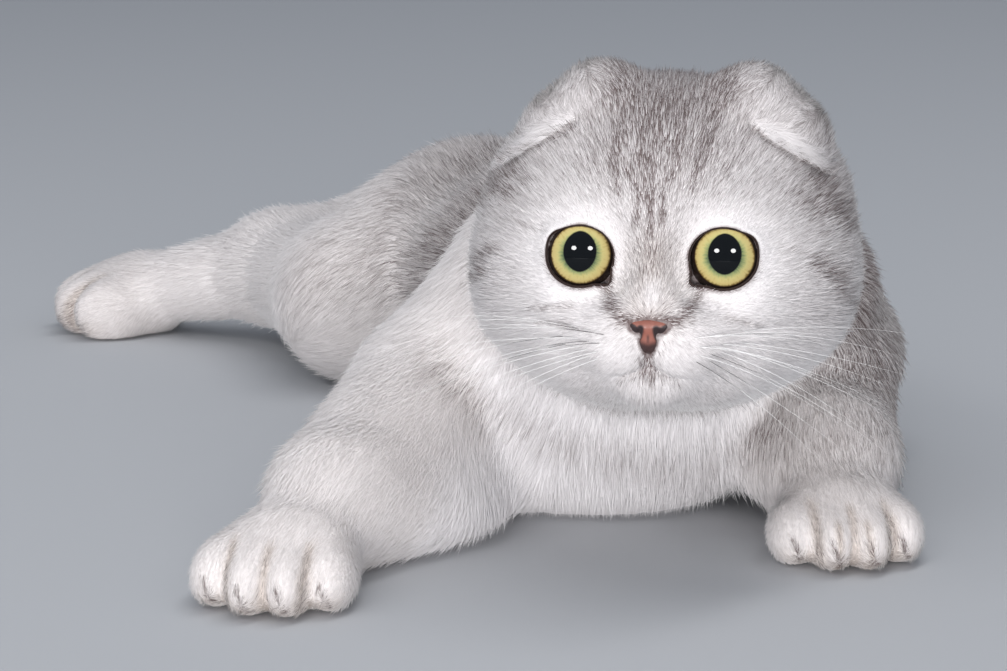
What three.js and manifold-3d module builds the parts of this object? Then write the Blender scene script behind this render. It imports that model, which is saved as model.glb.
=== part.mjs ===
// A scottish fold cat with a short silver coat, life size, lying on its chest with its head up.
// Millimetres, +Z up. The floor is z = 0, the face looks along -Y and the cat's own left is at +X.
// While it is built, x = 0 and y = 0 are under the middle of the shoulders. Every part of the body
// reaches out to the tips of the coat, and is one closed solid, parted from the next by a thin cut.
import * as THREE from "three";
import { mergeVertices } from "three/addons/utils/BufferGeometryUtils.js";
import Module from "manifold-3d";

const wasm = await Module();
wasm.setup();

// Driving sizes
const GAP = 0.3; // between parts that touch
const SUNK = 1.5; // how far the flesh would reach below the floor, which makes the flats
const HEAD_AT = [-3, -103, 101.3]; // the middle of the head
const HEAD_LIFT = 8; // degrees that the face is raised
const HEAD_TURN = -8; // degrees that it is turned, to the cat's right
const HEAD_LEAN = 0.4; // degrees that it leans, to the cat's left
const EYE = {
  right: [-20.5, -32, -4.5], // middle of the ball
  left: [19.1, -32, -3.9],
  ball: 10.4, // radii
  cornea: 9.5,
  corneaAhead: 2.4,
};
const LID = { thick: 1.5, wide: 9.6, tall: 8.5, slot: 30 };
const EAR = {
  root: [21.7, 0, 36.3], // the middle of the fold, near the crown
  tip: [30.1, 0, 29.6], // and near its lower corner
  inner: 14.5, // radii there
  outer: 14,
  back: 5, // how far the ear lies ahead of the middle of the head
  deep: 1.35, // from front to back, for each millimetre of height
  over: 2.6, // both ears sit this much to the left, as the head is tipped
  wall: 3.2, // left of the skull under the ear
  margin: 2.5, // from the ear out to the cut round it
  cup: [[24.5, -26, 30.5], [41, -19, 21.5], 4.4, 4.2], // a slot that opens under the free edge
  fold: 7, // width of the valley between ear and head
};
const SKULL_SOFT = 18;
const SKULL = [
  [[0, 8, 7], [49, 49, 41]], // braincase
  [[0, 10, 16], [50.5, 38, 24]], // crown and the roots of the ears
  [[24, -1, -11], [34.5, 35, 31]], // cheek
  [[0, -26, -18], [26, 18, 20]], // base of the muzzle
  [[10, -17, -27], [23, 21, 18]], // jaw
];
const BRIDGE = [[0, -30, 6], [0, -41, -18], 9, 7];
const MUZZLE = [[0, -36, -26], [19, 13, 12]];
const PAD = [[8, -42, -29], [10.5, 9.5, 8.5]];
const CHIN = [[0, -37, -38], [10, 8.5, 7.5]];
const ORBIT = [[19, -46, -4], [13, 6.5, 12]];
const MOUTH = [[0, -33.6], [4.5, -35.6], [9, -36.4], [14, -35.5], [19, -32.5], [24, -28]]; // across and up
const JAW = { at: [0, -34, -38], radii: [18, 24, 13], low: -70, long: 60 };
const NOSE = {
  middle: [0, -47, -25],
  tip: [[0, -47.1, -23.1], [4.7, 4.4, 2.9]],
  wing: [[3.9, -46.3, -22.8], [2.4, 3.5, 2.1]],
  foot: [[0, -47, -26.4], [3.2, 4, 3.7]],
  soft: 1.8,
  seat: 0.5, // room round it in the muzzle
  nostril: { path: [[2.5, -53, -24.1], [2.9, -49, -24.2], [3.6, -46, -24.4]], radius: 0.95 },
  comma: { path: [[3, -52, -24.4], [4.9, -49.3, -23.5], [7.4, -46, -21.6]], radius: 0.5 },
};
const TRUNK_SOFT = 16;
const TRUNK = [
  [[0, 0, 53], [62, 62, 57]], // shoulders
  [[-21, -33, 31], [57, 34, 39]], // breast
  [[-8, 55, 49], [60.5, 58, 48.5]], // ribs
  [[-30, 108, 46], [58, 56, 46]], // belly
  [[-52, 158, 44], [54, 52, 40]], // hips
  [[-76, -60, 14], [30, 34, 20]], // the long hair between breast and forearm
];
const NECK = [[0, -5, 74], [-2, -78, 90], 40, 37];
const THIGH = { ball: [[-8, 140, 42], [31, 46, 42]], knee: [[-10, 140, 40], [14, 104, 28], 30, 25] };
const SHIN = [[20, 112, 24], [24, 176, 20], 20, 17];
const TUCKED = { foot: { at: [36, 98], turn: 6, size: 0.84 }, hock: [[26, 176, 13], [35, 104, 12], 13, 13] };
const TAIL = {
  path: [[-44, 196, 44], [-22, 226, 26], [24, 226, 15], [62, 192, 13], [76, 146, 12], [78, 122, 12]],
  thick: 16.5, // radius at the root
  thinner: 1.1, // from one point to the next
  soft: 8,
};
const BODY_CELL = 13.5; // of the net over the body
const CUT_CELL = 24; // of the nets that part it
const FILLET = 14; // where a limb grows from the trunk
const LIMB_MARGIN = 4; // from a limb out to the cut round its root
const LIMB_ROOT = 7; // how deep that root sits in the trunk
const STEEPEST = 0.3; // cosine up to which a grown corner keeps the gap on each of its faces
const TOE = {
  radii: [6.9, 12, 9.6],
  apart: 10.6,
  ahead: 16, // of the middle of the foot
  curve: 3.2, // how much further back the outer toes lie
  high: 8.2,
  soft: 1.2,
  finer: 0.4, // how much smaller the faces are towards the toes
};
const PALM = { at: [0, 2, 10], radii: [19.5, 19, 14], soft: 7 };
const LIMB_SOFT = 10; // between one bone of a leg and the next

const material = (color, roughness) => new THREE.MeshStandardMaterial({ color, roughness, metalness: 0 });
const silver = material(0xaaa39f, 0.95);
const white = material(0xe6e3e1, 0.95);
const leather = material(0x9c5a4c, 0.55);
const amber = material(0xc9b85a, 0.05);

// The distance to an ellipsoid, less than 0 inside it
function ball(p, centre, radii) {
  const q = p.map((v, i) => (v - centre[i]) / radii[i]);
  const slope = Math.hypot(q[0] / radii[0], q[1] / radii[1], q[2] / radii[2]);
  const near = Math.hypot(q[0], q[1], q[2]);
  return slope < 1e-9 ? -Math.min(...radii) : (near * (near - 1)) / slope;
}

// The distance to a rounded limb that runs from a to b and changes its radius on the way
function limb(p, a, b, from, to) {
  const d = b.map((v, i) => v - a[i]);
  const e = p.map((v, i) => v - a[i]);
  const along = (d[0] * e[0] + d[1] * e[1] + d[2] * e[2]) / (d[0] ** 2 + d[1] ** 2 + d[2] ** 2);
  const h = Math.min(1, Math.max(0, along));
  return Math.hypot(e[0] - d[0] * h, e[1] - d[1] * h, e[2] - d[2] * h) - from - (to - from) * h;
}

// Two forms joined, with the valley between them filled over the width soft
function blend(a, b, soft) {
  const h = Math.max(soft - Math.abs(a - b), 0) / soft;
  return Math.min(a, b) - (h * h * soft) / 4;
}

// The first form with the second taken out of it, rounded alike
const carve = (a, b, soft) => -blend(-a, b, soft);
const blendAll = (soft, forms) => forms.reduce((a, b) => blend(a, b, soft));
const mirrored = (p, side) => [p[0] * side, p[1], p[2]];

// How far the surface of a form lies from a point inside it, along the direction way
function reach(form, from, way) {
  const at = (r) => form([from[0] + way.x * r, from[1] + way.y * r, from[2] + way.z * r]);
  const step = 3;
  let far = step;
  while (at(far) < 0) far += step;
  let near = far - step;
  for (let i = 0; i < 14; i++) {
    const middle = (near + far) / 2;
    if (at(middle) < 0) near = middle;
    else far = middle;
  }
  return near;
}

// A closed mesh of a form, looked at from one point inside it. Its faces are smaller towards finer.
function globe(form, from, detail, finer = [0, 0, 0]) {
  const geometry = new THREE.IcosahedronGeometry(1, detail);
  const position = geometry.getAttribute("position");
  const way = new THREE.Vector3();
  for (let i = 0; i < position.count; i++) {
    way.fromBufferAttribute(position, i).normalize().add(new THREE.Vector3(...finer)).normalize();
    const r = reach(form, from, way);
    position.setXYZ(i, from[0] + way.x * r, from[1] + way.y * r, from[2] + way.z * r);
  }
  return geometry;
}

// A closed mesh of a form within a box of cells. Each sheet of the surface that crosses a cell gets
// one corner of the mesh, drawn onto the surface, and each edge of the grid that it crosses gets one
// face of four corners.
const AXES = [[1, 0, 0], [0, 1, 0], [0, 0, 1]];
function net(form, low, high, cell) {
  const count = low.map((v, i) => Math.ceil((high[i] - v) / cell) + 1);
  const at = (p) => p.map((v, n) => low[n] + v * cell);
  const index = ([i, j, k]) => i + count[0] * (j + count[1] * k);
  const value = [];
  const grid = [];
  for (let k = 0; k < count[2]; k++) {
    for (let j = 0; j < count[1]; j++) {
      for (let i = 0; i < count[0]; i++) {
        value.push(form(at([i, j, k])));
        if (i * j * k > 0) grid.push([i, j, k]);
      }
    }
  }
  // The edge of a cell that runs along an axis, set over by s along the next axis and t along the last
  const edge = (axis, s, t) => axis * 4 + s + 2 * t;
  const ends = (here, axis, s, t) => {
    const start = here.slice();
    start[(axis + 1) % 3] += s;
    start[(axis + 2) % 3] += t;
    return [start, start.map((v, n) => v + AXES[axis][n])];
  };
  const crossed = (a, b) => value[index(a)] < 0 !== value[index(b)] < 0;

  // Sheets join crossed edges that share a side of the cell. Where all four edges of a side are
  // crossed, each inside corner keeps its own two.
  function sheets(here) {
    const sheet = Array.from({ length: 12 }, (_, e) => e);
    const join = (a, b) => {
      const [from, to] = [sheet[a], sheet[b]];
      sheet.forEach((v, e) => (sheet[e] = v === from ? to : v));
    };
    for (let n = 0; n < 3; n++) {
      const [u, v] = [(n + 1) % 3, (n + 2) % 3];
      for (const over of [0, 1]) {
        const sides = [0, 1].flatMap((s) => [[u, s, over], [v, over, s]]);
        const cut = sides.filter(([axis, s, t]) => crossed(...ends(here, axis, s, t)));
        if (cut.length === 2) join(edge(...cut[0]), edge(...cut[1]));
        if (cut.length < 4) continue;
        for (const [s, t] of [[0, 0], [1, 0], [0, 1], [1, 1]]) {
          const corner = here.slice();
          corner[n] += over;
          corner[u] += s;
          corner[v] += t;
          if (value[index(corner)] < 0) join(edge(u, t, over), edge(v, over, s));
        }
      }
    }
    return sheet;
  }

  const settle = (p) => {
    const f = form(p);
    const slope = AXES.map((a) => (form(p.map((v, n) => v + a[n] * 0.1)) - f) / 0.1);
    const steep = slope[0] ** 2 + slope[1] ** 2 + slope[2] ** 2;
    return p.map((v, n) => v - Math.max(-cell / 3, Math.min(cell / 3, (f * slope[n]) / steep)));
  };
  const points = [];
  const cells = new Map();
  function cornersOf(here) {
    const key = index(here);
    if (cells.has(key)) return cells.get(key);
    const sheet = sheets(here);
    const found = new Map();
    for (let axis = 0; axis < 3; axis++) {
      for (const [s, t] of [[0, 0], [1, 0], [0, 1], [1, 1]]) {
        const [a, b] = ends(here, axis, s, t);
        if (!crossed(a, b)) continue;
        const [from, to] = [value[index(a)], value[index(b)]];
        const p = at(a);
        p[axis] += (cell * from) / (from - to);
        const which = sheet[edge(axis, s, t)];
        const sum = found.get(which) ?? [0, 0, 0, 0];
        found.set(which, [sum[0] + p[0], sum[1] + p[1], sum[2] + p[2], sum[3] + 1]);
      }
    }
    const first = points.length;
    const ids = [...found.keys()];
    for (const [x, y, z, n] of found.values()) {
      points.push(new THREE.Vector3(...settle([x / n, y / n, z / n])));
    }
    cells.set(key, sheet.map((which) => first + ids.indexOf(which)));
    return cells.get(key);
  }

  const faces = [];
  for (const here of grid) {
    for (let axis = 0; axis < 3; axis++) {
      const next = here.map((v, n) => v + AXES[axis][n]);
      if (next[axis] >= count[axis] || !crossed(here, next)) continue;
      const around = [[0, 0], [1, 0], [1, 1], [0, 1]].map(([s, t]) => {
        const home = here.slice();
        home[(axis + 1) % 3] -= s;
        home[(axis + 2) % 3] -= t;
        return cornersOf(home)[edge(axis, s, t)];
      });
      const [p, q, r, t] = value[index(here)] < 0 ? around : around.reverse();
      const across = points[p].distanceTo(points[r]) < points[q].distanceTo(points[t]);
      faces.push(...(across ? [p, q, r, p, r, t] : [q, r, t, q, t, p]));
    }
  }
  const geometry = new THREE.BufferGeometry().setFromPoints(points);
  geometry.setIndex(faces);
  return geometry;
}

// A thin round bar along a smooth curve through the points
function bar(points, radius) {
  const ring = new THREE.Shape().absarc(0, 0, radius, 0, 2 * Math.PI);
  const extrudePath = new THREE.CatmullRomCurve3(points.map((p) => new THREE.Vector3(...p)));
  return new THREE.ExtrudeGeometry(ring, { steps: 3, curveSegments: 3, extrudePath, bevelEnabled: false });
}

// A block whose near face goes through a point and looks back along a direction
function halfSpace(point, direction, shift) {
  const size = 500;
  const way = new THREE.Vector3(...direction).normalize();
  const geometry = new THREE.BoxGeometry(size, size, size).translate(0, 0, size / 2 + shift);
  geometry.applyQuaternion(new THREE.Quaternion().setFromUnitVectors(new THREE.Vector3(0, 0, 1), way));
  return geometry.translate(...point);
}

// The geometry as a solid that can be joined and cut
function solid(geometry) {
  const bare = geometry.clone();
  bare.deleteAttribute("normal");
  bare.deleteAttribute("uv");
  const merged = mergeVertices(bare, 1e-3);
  const vertProperties = new Float32Array(merged.getAttribute("position").array);
  const triVerts = new Uint32Array(merged.index.array);
  return new wasm.Manifold(new wasm.Mesh({ numProp: 3, vertProperties, triVerts }));
}

const only = (body) => body.decompose().reduce((a, b) => (b.volume() > a.volume() ? b : a));

function geometryOf(body) {
  const { vertProperties, triVerts, numProp } = body.getMesh();
  const geometry = new THREE.BufferGeometry();
  const corners = new Float32Array(vertProperties.length);
  corners.set(vertProperties);
  geometry.setAttribute("position", new THREE.BufferAttribute(corners, numProp));
  geometry.setIndex(Array.from(triVerts));
  return mergeVertices(geometry, 1e-3);
}

// The same solid, grown by the gap in every direction, so that what it is cut from just clears it.
// A corner goes out along its own normal, further where the faces that meet there are steep to it.
function grown(body, by = GAP) {
  const geometry = geometryOf(body);
  geometry.computeVertexNormals();
  const position = geometry.getAttribute("position");
  const vectors = (data) =>
    Array.from({ length: data.count }, (_, i) => new THREE.Vector3().fromBufferAttribute(data, i));
  const corners = vectors(position);
  const normals = vectors(geometry.getAttribute("normal"));
  const least = corners.map(() => 1);
  const index = geometry.index.array;
  for (let f = 0; f < index.length; f += 3) {
    const face = [index[f], index[f + 1], index[f + 2]];
    const across = new THREE.Triangle(...face.map((i) => corners[i])).getNormal(new THREE.Vector3());
    for (const i of face) least[i] = Math.min(least[i], across.dot(normals[i]));
  }
  corners.forEach((corner, i) => {
    corner.addScaledVector(normals[i], by / Math.max(STEEPEST, least[i]));
    position.setXYZ(i, corner.x, corner.y, corner.z);
  });
  return solid(geometry).add(body);
}

const onFloor = (body) => only(body.subtract(solid(halfSpace([0, 0, 0], [0, 0, -1], 0))));

// What a body has on the near side and on the far side of a cut, with the gap between them
const nearSide = (body, { at, way }) => body.subtract(solid(halfSpace(at, way, -GAP / 2)));
const farSide = (body, { at, way }) => body.subtract(solid(halfSpace(at, way.map((v) => -v), -GAP / 2)));

const cat = new THREE.Group();
function add(name, body, finish) {
  const mesh = new THREE.Mesh(geometryOf(body), finish);
  mesh.name = name;
  cat.add(mesh);
}

// Head, in a frame of its own: x to the cat's left, y back, z up, from the middle of the skull
const headPlace = new THREE.Matrix4().makeRotationFromEuler(
  new THREE.Euler(
    THREE.MathUtils.degToRad(-HEAD_LIFT),
    THREE.MathUtils.degToRad(HEAD_LEAN),
    THREE.MathUtils.degToRad(HEAD_TURN),
    "ZYX",
  ),
);
headPlace.setPosition(...HEAD_AT);
const placeHead = (geometry) => geometry.clone().applyMatrix4(headPlace);

function skull(p) {
  const q = mirrored(p, Math.sign(p[0]) || 1);
  return blendAll(SKULL_SOFT, SKULL.map((part) => ball(q, ...part)));
}

const eyeAt = (side) => (side < 0 ? EYE.right : EYE.left);

function face(p) {
  const q = mirrored(p, Math.sign(p[0]) || 1);
  const muzzle = blend(ball(q, ...MUZZLE), limb(q, ...BRIDGE), 8);
  const front = blend(blend(muzzle, ball(q, ...PAD), 3), ball(q, ...CHIN), 4);
  const lids = ball(p, eyeAt(p[0]), Array(3).fill(EYE.ball + LID.thick));
  return blend(carve(blend(skull(q), front, 10), ball(q, ...ORBIT), 6), lids, 3);
}

const sphere = (centre, radius, detail) =>
  globe((p) => ball(p, centre, Array(3).fill(radius)), centre, detail);

function eyeball(side, more = 0) {
  const [x, y, z] = eyeAt(side);
  const round = solid(sphere([x, y, z], EYE.ball + more, 2));
  return round.add(solid(sphere([x, y - EYE.corneaAhead, z], EYE.cornea + more, more ? 2 : 3)));
}

// The opening between the lids: a short bar of that outline, from inside the eye to past the face
function lidOpening(side) {
  const outline = new THREE.Shape().absellipse(0, 0, LID.wide, LID.tall, 0, 2 * Math.PI);
  const tube = new THREE.ExtrudeGeometry(outline, { depth: LID.slot, curveSegments: 9, bevelEnabled: false });
  return tube.rotateX(Math.PI / 2).translate(...eyeAt(side));
}

// The lower jaw is what lies under the line of the mouth
function jawBlock(inset) {
  const left = MOUTH.slice(1).reverse().map(([x, z]) => [-x, z]);
  const top = [...left, ...MOUTH].map(([x, z]) => new THREE.Vector2(x, z - inset));
  const outline = new THREE.Shape().setFromPoints([new THREE.Vector2(top[0].x, JAW.low)]);
  outline.lineTo(top[0].x, top[0].y);
  outline.splineThru(top.slice(1));
  outline.lineTo(top[top.length - 1].x, JAW.low);
  const settings = { depth: JAW.long, curveSegments: 2, bevelEnabled: false };
  const below = new THREE.ExtrudeGeometry(outline, settings);
  const oval = globe((p) => ball(p, JAW.at, JAW.radii) + inset, JAW.at, 3);
  return solid(placeHead(below.rotateX(Math.PI / 2))).intersect(solid(placeHead(oval)));
}

function noseForm(p) {
  const q = mirrored(p, Math.sign(p[0]) || 1);
  return blendAll(NOSE.soft, [NOSE.tip, NOSE.wing, NOSE.foot].map((part) => ball(q, ...part)));
}

// An ear that is folded forwards and down over the skull, seen from outside
const earForm = (side, less = 0) => (p) => {
  const q = mirrored(p, side);
  q[0] -= side * EAR.over;
  q[1] = (q[1] + EAR.back) / EAR.deep;
  return limb(q, EAR.root, EAR.tip, EAR.inner - less, EAR.outer - less);
};
const earMiddle = (side) => [(side * (EAR.root[0] + EAR.tip[0])) / 2 + EAR.over, -EAR.back, 32];

const facePlace = (geometry) => solid(placeHead(geometry));
const headForm = (p) => blendAll(EAR.fold, [face(p), earForm(1)(p), earForm(-1)(p)]);
const headWhole = facePlace(globe(headForm, [0, -4, -4], 8, [0, -0.3, -0.05]));
let head = headWhole;

const ears = [-1, 1].map((side) => {
  const block = (extra) =>
    facePlace(globe(earForm(side, -EAR.margin - extra), earMiddle(side), 2)).subtract(
      facePlace(globe((p) => skull(p) + EAR.wall + extra, [0, 0, 0], 2)),
    );
  const [from, to] = EAR.cup;
  const cupMiddle = from.map((v, i) => ((i ? 1 : side) * (v + to[i])) / 2);
  const cup = facePlace(globe((p) => limb(mirrored(p, side), ...EAR.cup), cupMiddle, 2));
  const ear = only(head.intersect(block(0)).subtract(cup));
  head = only(head.subtract(block(GAP)).subtract(cup));
  return ear;
});

head = head.subtract(grown(facePlace(globe(noseForm, NOSE.middle, 2)), NOSE.seat));
let nose = facePlace(globe(noseForm, NOSE.middle, 3));
for (const side of [-1, 1]) {
  for (const { path, radius } of [NOSE.nostril, NOSE.comma]) {
    nose = nose.subtract(facePlace(bar(path.map(([x, y, z]) => [side * x, y, z]), radius)));
  }
}
nose = only(nose);
for (const side of [-1, 1]) {
  const seat = geometryOf(eyeball(side, GAP)).applyMatrix4(headPlace);
  head = head.subtract(solid(seat)).subtract(facePlace(lidOpening(side)));
}
head = only(head);
const jaw = only(head.intersect(jawBlock(GAP)));
head = only(head.subtract(jawBlock(0)));

add("head", head, silver);
add("jaw", jaw, white);
add("nose", nose, leather);
["right", "left"].forEach((name, i) => {
  add(`ear_${name}`, ears[i], silver);
  add(`eye_${name}`, solid(geometryOf(eyeball(i * 2 - 1)).applyMatrix4(headPlace)), amber);
});

const trunkForm = (p) => blendAll(TRUNK_SOFT, [...TRUNK.map((part) => ball(p, ...part)), limb(p, ...NECK)]);

// A leg is one form from its root in the trunk to the toes, cut at the elbow or knee and at the wrist
// or hock. Its foot has a frame of its own: x across, y back from the toes, z up from the floor.
function footForm(foot) {
  const turn = THREE.MathUtils.degToRad(foot.turn);
  const [c, s] = [Math.cos(turn), Math.sin(turn)];
  return (p) => {
    const x = p[0] - foot.at[0];
    const y = p[1] - foot.at[1];
    const q = [x * c + y * s, y * c - x * s, p[2] / (foot.tall ?? 1)].map((v) => v / foot.size);
    const toes = [-1.5, -0.5, 0.5, 1.5].map((i) =>
      ball(q, [i * TOE.apart, TOE.curve * (i * i - 0.25) - TOE.ahead, TOE.high], TOE.radii),
    );
    return blend(blendAll(TOE.soft, toes), ball(q, PALM.at, PALM.radii), PALM.soft) * foot.size;
  };
}

// The bones of a leg, fleshed out
function legForm({ joints, foot, haunch }) {
  const toes = footForm(foot);
  const lengths = joints.slice(1).map((b, i) => [joints[i].at, b.at, joints[i].radius, b.radius]);
  if (haunch) lengths.push([joints[0].at, joints[2].at, ...haunch]);
  return (p) => blend(toes(p), blendAll(LIMB_SOFT, lengths.map((length) => limb(p, ...length))), LIMB_SOFT);
}

const legs = [
  {
    names: ["upper_arm_right", "forearm_right", "forepaw_right"],
    joints: [
      { at: [-38, -18, 62], radius: 34 },
      { at: [-72, -20, 34], radius: 26 },
      { at: [-100, -97, 20], radius: 21.5 },
      { at: [-108, -122, 14], radius: 16.5 },
    ],
    elbow: { at: [-86, -34, 30], way: [-0.3, -1, -0.2] },
    wrist: { at: [-110, -109, 16], way: [-0.1, -1, -0.15] },
    foot: { at: [-114, -127], turn: -8, size: 1.05 },
    finish: white,
  },
  {
    names: ["upper_arm_left", "forearm_left", "forepaw_left"],
    joints: [
      { at: [42, -5, 62], radius: 33 },
      { at: [58, 18, 38], radius: 26 },
      { at: [51, -54, 20], radius: 23.5 },
      { at: [53, -84, 13], radius: 14 },
    ],
    elbow: { at: [60, -4, 30], way: [-0.1, -1, -0.2] },
    wrist: { at: [56, -64, 16], way: [0, -1, -0.15] },
    foot: { at: [52, -85], turn: 4, size: 1.02 },
    finish: silver,
  },
  {
    names: ["thigh_right", "shin_right", "hindfoot_right"],
    joints: [
      { at: [-62, 166, 48], radius: 36.5 },
      { at: [-104, 130, 32], radius: 31 },
      { at: [-138, 193, 31], radius: 22.5 },
      { at: [-192, 215, 18], radius: 15.5 },
    ],
    haunch: [32, 22], // the flesh straight from the hip to the hock
    elbow: { at: [-112, 147, 30], way: [-0.5, 1, 0] },
    wrist: { at: [-160, 197, 26], way: [-1, 0.3, -0.1] },
    foot: { at: [-202, 220], turn: -80, size: 1.13, tall: 1.18 },
    finish: silver,
  },
];

// The left hind leg is tucked: the thigh lies against the flank, with the shin and the long foot
// beside it on the floor
const thighForm = (p) => blend(ball(p, ...THIGH.ball), limb(p, ...THIGH.knee), LIMB_SOFT);

// The whole body without its feet is one form and one mesh, which is then parted by thin cuts
const limbForms = [...legs.map(legForm), thighForm];
const low = [-275, -205, -45];
const high = [125, 280, 185];
const sunkTrunk = ([x, y, z]) => trunkForm([x, y, z + SUNK]);
const bodyForm = (p) => blendAll(FILLET, [sunkTrunk, ...limbForms].map((form) => form(p)));
const bodyWhole = onFloor(solid(net(bodyForm, low, high, BODY_CELL)));
let body = bodyWhole;
const core = solid(net((p) => trunkForm(p) + LIMB_ROOT, low, high, CUT_CELL));
function takeOut(form) {
  const space = solid(net((p) => form(p) - LIMB_MARGIN, low, high, CUT_CELL));
  const piece = only(body.intersect(space.subtract(grown(core))));
  body = only(body.subtract(grown(space).subtract(core)));
  return piece;
}
legs.forEach(({ names, elbow, wrist, foot, finish }, i) => {
  const whole = takeOut(limbForms[i]);
  add(names[0], only(nearSide(whole, elbow)), finish);
  add(names[1], only(nearSide(farSide(whole, elbow), wrist)), finish);
  const turn = THREE.MathUtils.degToRad(foot.turn);
  const toesWay = [Math.sin(turn) * TOE.finer, -Math.cos(turn) * TOE.finer, 0];
  const paw = globe(limbForms[i], [foot.at[0], foot.at[1], 9], 4, toesWay);
  add(names[2], only(farSide(onFloor(solid(paw)), wrist)), white);
});
const thigh = takeOut(thighForm);
add("thigh_left", thigh, silver);

const collar = { at: [0, -50, 72], way: [0, 0.85, -0.53] };
const ribsEnd = { at: [0, 42, 50], way: [-0.18, 1, 0] };
const hipsStart = { at: [-35, 122, 46], way: [-0.4, 1, 0] };
const neck = only(nearSide(body, collar).subtract(grown(headWhole)));
const chest = only(nearSide(farSide(body, collar), ribsEnd));
const abdomen = only(nearSide(farSide(body, ribsEnd), hipsStart));
const rump = only(farSide(body, hipsStart));
add("neck", neck, silver);
add("chest", chest, white);
add("abdomen", abdomen, silver);
add("rump", rump, silver);

const bodyClear = grown(bodyWhole);
const besideBody = (piece) => only(onFloor(piece).subtract(bodyClear));
const shinForm = (p) => limb(p, ...SHIN);
const shinWhole = solid(net(shinForm, [-15, 70, -20], [70, 215, 65], 9));
add("shin_left", besideBody(shinWhole), silver);
const tuckedFoot = footForm(TUCKED.foot);
const tuckedForm = (p) => blend(tuckedFoot(p), limb(p, ...TUCKED.hock), 8);
const longFoot = solid(net(tuckedForm, [-10, 45, -20], [85, 215, 50], 10));
add("hindfoot_left", besideBody(longFoot.subtract(grown(shinWhole))), white);

// The tail lies on the floor round the left side
const tailForm = (p) =>
  TAIL.path.slice(1).reduce((all, b, i) => {
    const radius = (k) => TAIL.thick - TAIL.thinner * k;
    return blend(all, limb(p, TAIL.path[i], b, radius(i), radius(i + 1)), TAIL.soft);
  }, Infinity);
const tail = besideBody(solid(net(tailForm, [-85, 80, -25], [115, 270, 80], 11.5)));
const tailCuts = [{ at: [16, 227, 15], way: [1, -0.1, 0] }, { at: [70, 170, 13], way: [0.4, -1, 0] }];
add("tail_base", only(nearSide(tail, tailCuts[0])), silver);
add("tail_middle", only(nearSide(farSide(tail, tailCuts[0]), tailCuts[1])), silver);
add("tail_tip", only(farSide(tail, tailCuts[1])), silver);

const bounds = new THREE.Box3().setFromObject(cat);
const centre = bounds.getCenter(new THREE.Vector3());
cat.position.set(-centre.x, -centre.y, -bounds.min.z);
const group = new THREE.Group();
group.add(cat);
export default group;
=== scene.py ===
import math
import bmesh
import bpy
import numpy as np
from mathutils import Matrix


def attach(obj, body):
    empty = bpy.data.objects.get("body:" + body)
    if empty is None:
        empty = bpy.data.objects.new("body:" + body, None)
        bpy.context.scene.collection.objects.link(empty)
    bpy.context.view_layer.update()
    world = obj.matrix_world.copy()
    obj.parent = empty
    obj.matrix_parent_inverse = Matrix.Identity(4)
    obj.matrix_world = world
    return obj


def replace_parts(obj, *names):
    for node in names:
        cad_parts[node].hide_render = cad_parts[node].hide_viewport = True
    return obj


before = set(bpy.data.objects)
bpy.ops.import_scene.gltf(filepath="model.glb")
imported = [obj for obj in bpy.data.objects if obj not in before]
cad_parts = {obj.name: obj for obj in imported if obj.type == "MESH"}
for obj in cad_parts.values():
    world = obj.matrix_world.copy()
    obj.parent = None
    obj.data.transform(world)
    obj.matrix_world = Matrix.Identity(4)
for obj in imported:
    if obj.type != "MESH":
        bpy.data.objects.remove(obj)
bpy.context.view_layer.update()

# %% [markdown]
# # A scottish fold cat with a short silver coat
# The animal lies on its chest with its head up. The frame holds its solids, which reach out to the tips of
# the coat. This file dresses them: one seamless skin under the coat, the coat itself in solid tufts,
# and the eyes, lids, nose leather and whiskers as pieces of their own.

# %% The room that the solids take
import openvdb
from mathutils import Euler, Vector

NODES = list(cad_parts)
EYES = ["eye_right", "eye_left"]

# %% [markdown]
# ## Camera
# The cat looks up at a lens that stands a quarter of a metre over the floor and a little to its right, so
# the camera is placed once, from the height and pitch that put the paws and the head where they belong.

# %% Camera
HOME = np.array([71.85, -42.57, 0.0])  # the floor under the shoulders, in millimetres of the frame
CAMERA_AT = (np.array([-50.0, -900.0, 255.5]) + HOME) / 1000
CAMERA_DOWN = 13  # degrees
camera = bpy.data.objects.new("camera", bpy.data.cameras.new("camera"))
camera.data.lens, camera.data.sensor_width = 100.1, 36
camera.location = CAMERA_AT
camera.rotation_euler = (math.radians(90 - CAMERA_DOWN), 0, 0)
bpy.context.collection.objects.link(camera)
bpy.context.scene.camera = camera
print("camera at", CAMERA_AT.round(4))

# %% [markdown]
# ## Forms
# A body without edges is easiest to describe by how far a point lies from it. Each muscle or bone is a
# ball or a rounded limb, and a blend fills the valley between two of them, as flesh does. All of these
# work on many points at once, in millimetres, with x = y = 0 under the middle of the shoulders.

# %% Balls, limbs and blends
def size_of(v):
    return np.sqrt(np.einsum("...i,...i->...", v, v))


def ball(p, centre, radii):
    q = (p - np.float32(centre)) / np.float32(radii)
    near = size_of(q)
    return near * (near - 1) / np.maximum(size_of(q / np.float32(radii)), 1e-6)


def limb(p, a, b, start, end):
    a, d = np.float32(a), np.float32(b) - np.float32(a)
    e = p - a
    h = np.clip(e @ d / (d @ d), 0, 1)
    return size_of(e - d * h[..., None]) - start - (end - start) * h


def blend(a, b, soft):
    h = np.maximum(soft - np.abs(a - b), 0) / soft
    return np.minimum(a, b) - h * h * soft / 4


def carve(a, b, soft):
    return -blend(-a, b, soft)


def blend_all(soft, forms):
    whole = forms[0]
    for form in forms[1:]:
        whole = blend(whole, form, soft)
    return whole


def ramp(x, low, high):
    t = np.clip((x - low) / (high - low), 0, 1)
    return t * t * (3 - 2 * t)


print("forms ready")

# %% [markdown]
# ## Head
# The head has a frame of its own, so that it can be modelled straight and symmetrical and then lifted
# and turned. The coat is thinnest round the eyes and on the muzzle and thicker towards the cheeks
# and the crown, so the skin lies deeper there.

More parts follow.
